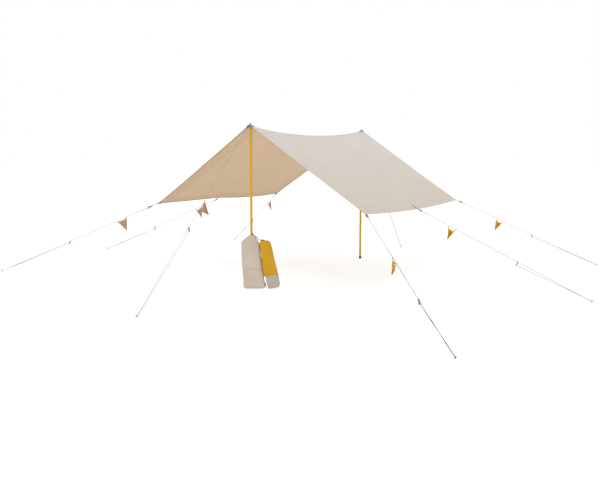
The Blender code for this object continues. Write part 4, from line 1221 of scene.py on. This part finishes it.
POLE_BAG_BODY = [
    (0.1703, 0.076, 0.052, 0.0, 0.105), (0.420, 0.075, 0.051, 0.0, 0.105),
    (0.565, 0.074, 0.048, 0.0, 0.104),
    (0.598, 0.066, 0.040, -0.002, 0.102), (0.616, 0.046, 0.026, -0.010, 0.101),
    (0.622, 0.024, 0.014, -0.026, 0.100),
]
POLE_BAG_RIGHT = 0.2867
POLE_BAG_LEAN = math.radians(11.1)
TARP_BAG_PLACE = Matrix.Rotation(BAG_TURN, 4, "Z")
POLE_BAG_LIFT = POLE_BAG_BASE[0][1] * math.sin(POLE_BAG_LEAN)
POLE_BAG_PLACE = (TARP_BAG_PLACE @ Matrix.Translation((POLE_BAG_RIGHT, 0.0, POLE_BAG_LIFT))
                  @ Matrix.Rotation(-POLE_BAG_LEAN, 4, "Y"))


def through(values, heights, at):
    """A smooth curve through values at heights, without overshoot."""
    slopes = np.diff(values) / np.diff(heights)
    product, total = slopes[:-1] * slopes[1:], slopes[:-1] + slopes[1:]
    inner = np.where(product > 0.0, 2.0 * product / np.where(total == 0, 1, total), 0.0)
    tangents = np.concatenate([[slopes[0]], inner, [slopes[-1]]])
    i = np.clip(np.searchsorted(heights, at) - 1, 0, len(heights) - 2)
    gap = heights[i + 1] - heights[i]
    t = (at - heights[i]) / gap
    return ((2 * t ** 3 - 3 * t ** 2 + 1) * values[i] + (t ** 3 - 2 * t ** 2 + t) * gap * tangents[i]
            + (-2 * t ** 3 + 3 * t ** 2) * values[i + 1] + (t ** 3 - t ** 2) * gap * tangents[i + 1])


def bag_rings(sections, place, heights, folds_at):
    """The rings of a soft bag, with its folds, as points of (heights, sides)."""
    height, *measures = np.array(sections).T
    half_width, half_depth, right, front = (through(m, height, heights)[:, None] for m in measures)
    angle = full_turn(128)[None, :]
    c, s = np.cos(angle), np.sin(angle)
    x = right + half_width * np.sign(c) * np.abs(c) ** BAG_SQUARENESS
    y = -front + half_depth * np.sign(s) * np.abs(s) ** BAG_SQUARENESS
    z = np.broadcast_to(heights[:, None], x.shape)
    inward = folds_at(angle, heights[:, None])
    out_x, out_y = c / half_width, s / half_depth
    scale = np.hypot(out_x, out_y)
    points = np.stack([x - inward * out_x / scale, y - inward * out_y / scale, z], -1)
    return place_on(np.array(place), points)


def make_bag(name, rings, material, slot, replaced):
    rows, sides, _ = rings.shape
    steps = np.linalg.norm(np.diff(rings, axis=1, append=rings[:, :1]), axis=2)
    around = np.cumsum(steps, axis=1) - steps
    uvs = np.stack([around, rings[..., 2]], -1).reshape(-1, 2)
    bag = new_object(name, rings.reshape(-1, 3), capped_faces(rows, sides), uvs, [material])
    dress(bag, slot, replaced)


def crease(angle, at, width):
    """1 along a vertical line at an angle round a bag, and 0 away from it."""
    away = np.abs((angle - math.radians(at) + math.pi) % (2.0 * math.pi) - math.pi)
    return np.exp(-(away / width) ** 2)


def tarp_bag_folds(angle, height):
    gather = smooth_step(0.56, 0.67, height)
    low = 1.0 - smooth_step(0.0, 0.03, height)
    pleats = 0.5 + 0.5 * np.cos(15.0 * angle + 1.2 * np.sin(3.0 * angle) + 6.0 * (height - 0.6))
    soft = (np.sin(4.0 * angle + 5.0 * height + 0.8) + 0.8 * np.sin(7.0 * angle - 9.0 * height + 2.0)
            + 0.5 * np.sin(3.0 * angle + 27.0 * height) * np.sin(19.0 * height + 2.0 * angle))
    soft = soft * (1.0 - 0.8 * crease(angle, 0.0, 0.7))
    dents = 0.6 * np.sin(31.0 * height + 5.0 * np.sin(2.0 * angle)) * smooth_step(0.25, 0.5, height)
    front = smooth_step(0.35, 0.75, -np.sin(angle))
    creases = ((238.0, 0.5, 0.8), (262.0, -0.4, 1.1), (287.0, 0.3, 0.9), (308.0, -0.5, 0.7),
               (60.0, 0.4, 0.9), (98.0, -0.4, 1.0), (132.0, 0.3, 0.8))
    hangs = sum(depth * crease(angle + drift * (height - 0.45), at, 0.085) for at, drift, depth in creases)
    hangs = hangs * smooth_step(0.24, 0.42, height)
    slack = (0.0022 * (soft + dents) + 0.0014 + 0.0030 * front) * (1.0 - gather) * (1.0 - 0.7 * low)
    seam_line = 0.0022 * np.exp(-((height - TARP_BAG_SEAM) / 0.0022) ** 2)
    return slack + 0.0040 * hangs * (1.0 - 0.5 * gather) + gather * (0.0055 * pleats) + seam_line


def pole_bag_folds(angle, height):
    """Beside the tarp bag, near its top, the bag is pressed flat, so it has no swell there."""
    gather = smooth_step(0.54, 0.60, height)
    pleats = 0.5 + 0.5 * np.cos(13.0 * angle + 0.9 * np.sin(2.0 * angle))
    soft = (np.sin(3.0 * angle + 4.0 * height + 0.5) + 0.9 * np.sin(6.0 * angle + 3.0 * height + 2.2)
            + 0.5 * np.sin(2.0 * angle + 21.0 * height))
    pressed = crease(angle, 180.0, 0.9) * smooth_step(0.36, 0.48, height)
    hangs = sum(crease(angle + drift * (height - 0.35), at, 0.11)
                for at, drift in ((235.0, 0.5), (268.0, -0.3), (300.0, 0.6), (70.0, 0.4), (115.0, -0.5)))
    slack = 0.0020 * soft * (1.0 - pressed) + 0.0004 + 0.0022 * pressed
    overhang = 0.0180 * crease(angle, 180.0, 0.9) * (1.0 - smooth_step(0.17, 0.56, height))
    flare = 0.0120 * crease(angle, 0.0, 0.9) * (1.0 - smooth_step(0.17, 0.62, height))
    return ((slack + 0.0034 * hangs * smooth_step(0.17, 0.30, height)) * (1.0 - gather)
            + gather * 0.0035 * pleats - overhang - flare)


def base_folds(angle, height):
    soft = np.sin(3.0 * angle + 4.0 * height + 0.5) + 0.9 * np.sin(6.0 * angle + 3.0 * height + 2.2)
    hem_groove = 0.0012 * np.exp(-((height - BASE_HEM) / 0.0018) ** 2)
    flare = 0.0150 * crease(angle, 0.0, 0.9) * smooth_step(-0.02, 0.05, height)
    return 0.0013 * soft * smooth_step(0.0, 0.04, height) + hem_groove - flare


def levels(sections, count, extra):
    """Heights from a bag's lowest section to its highest, with some extra ones."""
    return np.array(sorted({*np.linspace(sections[0][0], sections[-1][0], count), *extra}))


tarp_levels = levels(TARP_BAG, 120, (0.003, 0.008, 0.253, 0.2545, TARP_BAG_SEAM, 0.2575, 0.259, 0.681))
tarp_rings = bag_rings(TARP_BAG, TARP_BAG_PLACE, tarp_levels, tarp_bag_folds)
base_levels = levels(POLE_BAG_BASE, 44, (0.003, 0.156, BASE_HEM, 0.160))
base_rings = bag_rings(POLE_BAG_BASE, POLE_BAG_PLACE, base_levels, base_folds)
body_levels = levels(POLE_BAG_BODY, 90, (0.172, 0.620))
body_rings = bag_rings(POLE_BAG_BODY, POLE_BAG_PLACE, body_levels, pole_bag_folds)
make_bag("tarp_bag_cloth", tarp_rings, bag_cloth, "bag_canvas", "tarp_bag")
make_bag("pole_bag_base_cloth", base_rings, base_cloth, "bag_canvas", "pole_bag_base")
make_bag("pole_bag_cloth", body_rings, yellow_cloth, "pole_bag", "pole_bag_body")


def ring_stitches(parts, ring):
    """Stitches along one ring of a bag."""
    closed = np.vstack([ring, ring[:1]])
    along = distances(closed)
    middles = np.arange(BAG_STITCH_PITCH / 2.0, along[-1], BAG_STITCH_PITCH)
    point, ahead, behind = (
        np.stack([np.interp((middles + gap) % along[-1], along, way) for way in closed.T], 1)
        for gap in (0.0, HEADING_STEP, -HEADING_STEP))
    heading = unit(ahead - behind)
    outward = point - ring.mean(axis=0)
    outward = unit(outward - np.sum(outward * heading, 1, keepdims=True) * heading)
    grains(parts, point + 0.0003 * outward, heading, outward, BAG_STITCH_LENGTH)


def make_cord_lock(name, place, section, replaced, body, cord):
    """A cord lock: a barrel with its button, and the drawcord's closed loop above it."""
    top, _, _, right, front = section
    matrix = np.array(place @ Matrix.Translation((right, -front, top + 0.0093)))
    lying = matrix @ np.array(Matrix.Rotation(math.pi / 2.0, 4, "Y"))
    barrel = [(0.0052, 0.0118), (0.0078, 0.0112), (0.0088, 0.0098), (0.0090, 0.0060), (0.0083, 0.0052),
              (0.0083, -0.0040), (0.0090, -0.0048), (0.0090, -0.0094), (0.0080, -0.0110), (0.0060, -0.0118)]
    button = [(0.0030, 0.0150), (0.0046, 0.0146), (0.0054, 0.0132), (0.0056, 0.0108)]
    parts = Parts()
    for profile, sides in ((barrel, 40), (button, 32)):
        points, faces, uvs = lathe(profile, sides)
        parts.add(place_on(lying, points), faces, uvs)
    for side in (-1.0, 1.0):
        strand = [(0.0030 * side, 0.0, -0.013), (0.0030 * side, 0.0, 0.0),
                  (0.0031 * side, 0.0, 0.009), (0.0038 * side, -0.0006, 0.0125),
                  (0.0024 * side, -0.0012, 0.0160), (0.0, -0.0014, 0.0172)]
        parts.add(*tube(place_on(matrix, strand), 0.0014, 10), material=1)
    parts.make(name, [body, cord], "toggle", replaced)


make_cord_lock("tarp_bag_lock", TARP_BAG_PLACE, TARP_BAG[-1], "tarp_bag_toggle",
               toggle_dark, shaded_cord_braid)
make_cord_lock("pole_bag_lock", POLE_BAG_PLACE, POLE_BAG_BODY[-1], "pole_bag_toggle",
               toggle_grey, yellow_cord)


def nearest(heights, level):
    """Which of a bag's rings is nearest to a height."""
    return int(np.abs(heights - level).argmin())


trim = Parts()
for level in (0.2515, 0.2605, 0.017):
    ring_stitches(trim, tarp_rings[nearest(tarp_levels, level)])
trim.make("tarp_bag_stitches", [thread_out], "bag_canvas")
trim = Parts()
for level in (0.014, 0.150, 0.163):
    ring_stitches(trim, base_rings[nearest(base_levels, level)])
ring_stitches(trim, body_rings[4])
trim.make("pole_bag_stitches", [thread_out], "bag_canvas")

# A folded loop of black tape in the tarp bag's side seam, near the bottom
side_point = tarp_rings[nearest(tarp_levels, 0.045), 0]
bag_axes = np.array(TARP_BAG_PLACE)
fold = [side_point + bag_axes[:3, 0] * (-0.006 + 0.016 * k / 5.0) for k in range(6)]
tab_axes = [np.tile(way, (len(fold), 1)) for way in (UP, bag_axes[:3, 1])]
trim = Parts()
trim.add(*sweep(fold, *tab_axes, tape_profile(0.044, 0.0024), [1.0, 1.0, 1.0, 1.0, 0.99, 0.97]))
trim.make("tarp_bag_tab", [rubber], "bag_canvas")

# The pole bag's drawcord, which runs up over the tarp bag's shoulder to its neck
drawn = np.array([
    (0.165, -0.092, 0.6205), (0.146, -0.090, 0.6225), (0.124, -0.082, 0.6190), (0.104, -0.074, 0.6220),
    (0.088, -0.068, 0.6330), (0.074, -0.060, 0.6460), (0.060, -0.052, 0.6600), (0.050, -0.046, 0.6700)])
fine = np.linspace(0.0, 1.0, 40)
smooth = np.stack([through(way, np.linspace(0.0, 1.0, len(drawn)), fine) for way in drawn.T], 1)
twist = 14.0 * fine
trim = Parts()
for side in (-1.0, 1.0):
    strand = smooth + side * 0.0040 * np.stack([np.cos(twist), np.zeros_like(twist), np.sin(twist)], 1)
    trim.add(*tube(place_on(bag_axes, strand + (0.003, -0.003, 0.003)), 0.0040, 12))
trim.make("pole_bag_drawcord", [yellow_cord], "pole_bag")


# Floor, light and camera
def make_floor():
    mesh = bpy.data.meshes.new("floor")
    far, z = 60.0, -0.002
    mesh.from_pydata([(-far, -far, z), (far, -far, z), (far, far, z), (-far, far, z)], [], [(0, 1, 2, 3)])
    finish = Finish("floor", (0.38, 0.38, 0.38, 1.0), 0.95)
    finish.set({"Specular IOR Level": 0.0, "Emission Color": (1.0, 1.0, 1.0, 1.0),
                "Emission Strength": 0.69})
    mesh.materials.append(finish.material)
    floor = bpy.data.objects.new("floor", mesh)
    bpy.context.scene.collection.objects.link(floor)


make_floor()
world = bpy.data.worlds.new("white")
bpy.context.scene.world = world
world.use_nodes = True
background = world.node_tree.nodes["Background"].inputs
background["Color"].default_value = (1.0, 1.0, 1.0, 1.0)
background["Strength"].default_value = 1.0
sun_data = bpy.data.lights.new("sun", "SUN")
sun_data.energy = 0.9
sun_data.angle = math.radians(18.0)
sun = bpy.data.objects.new("sun", sun_data)
sun.rotation_euler = Vector((0.35, -0.75, 1.0)).to_track_quat("Z", "Y").to_euler()
bpy.context.scene.collection.objects.link(sun)

camera_data = bpy.data.cameras.new("camera")
camera_data.lens = 44.21
camera_data.sensor_width = 36.0
camera = bpy.data.objects.new("camera", camera_data)
camera.location = (5.560, -7.686, 1.764)
camera.rotation_euler = (math.radians(83.093), 0.0, math.radians(32.088))
bpy.context.scene.collection.objects.link(camera)
bpy.context.scene.camera = camera
bpy.context.scene.view_settings.view_transform = "Standard"
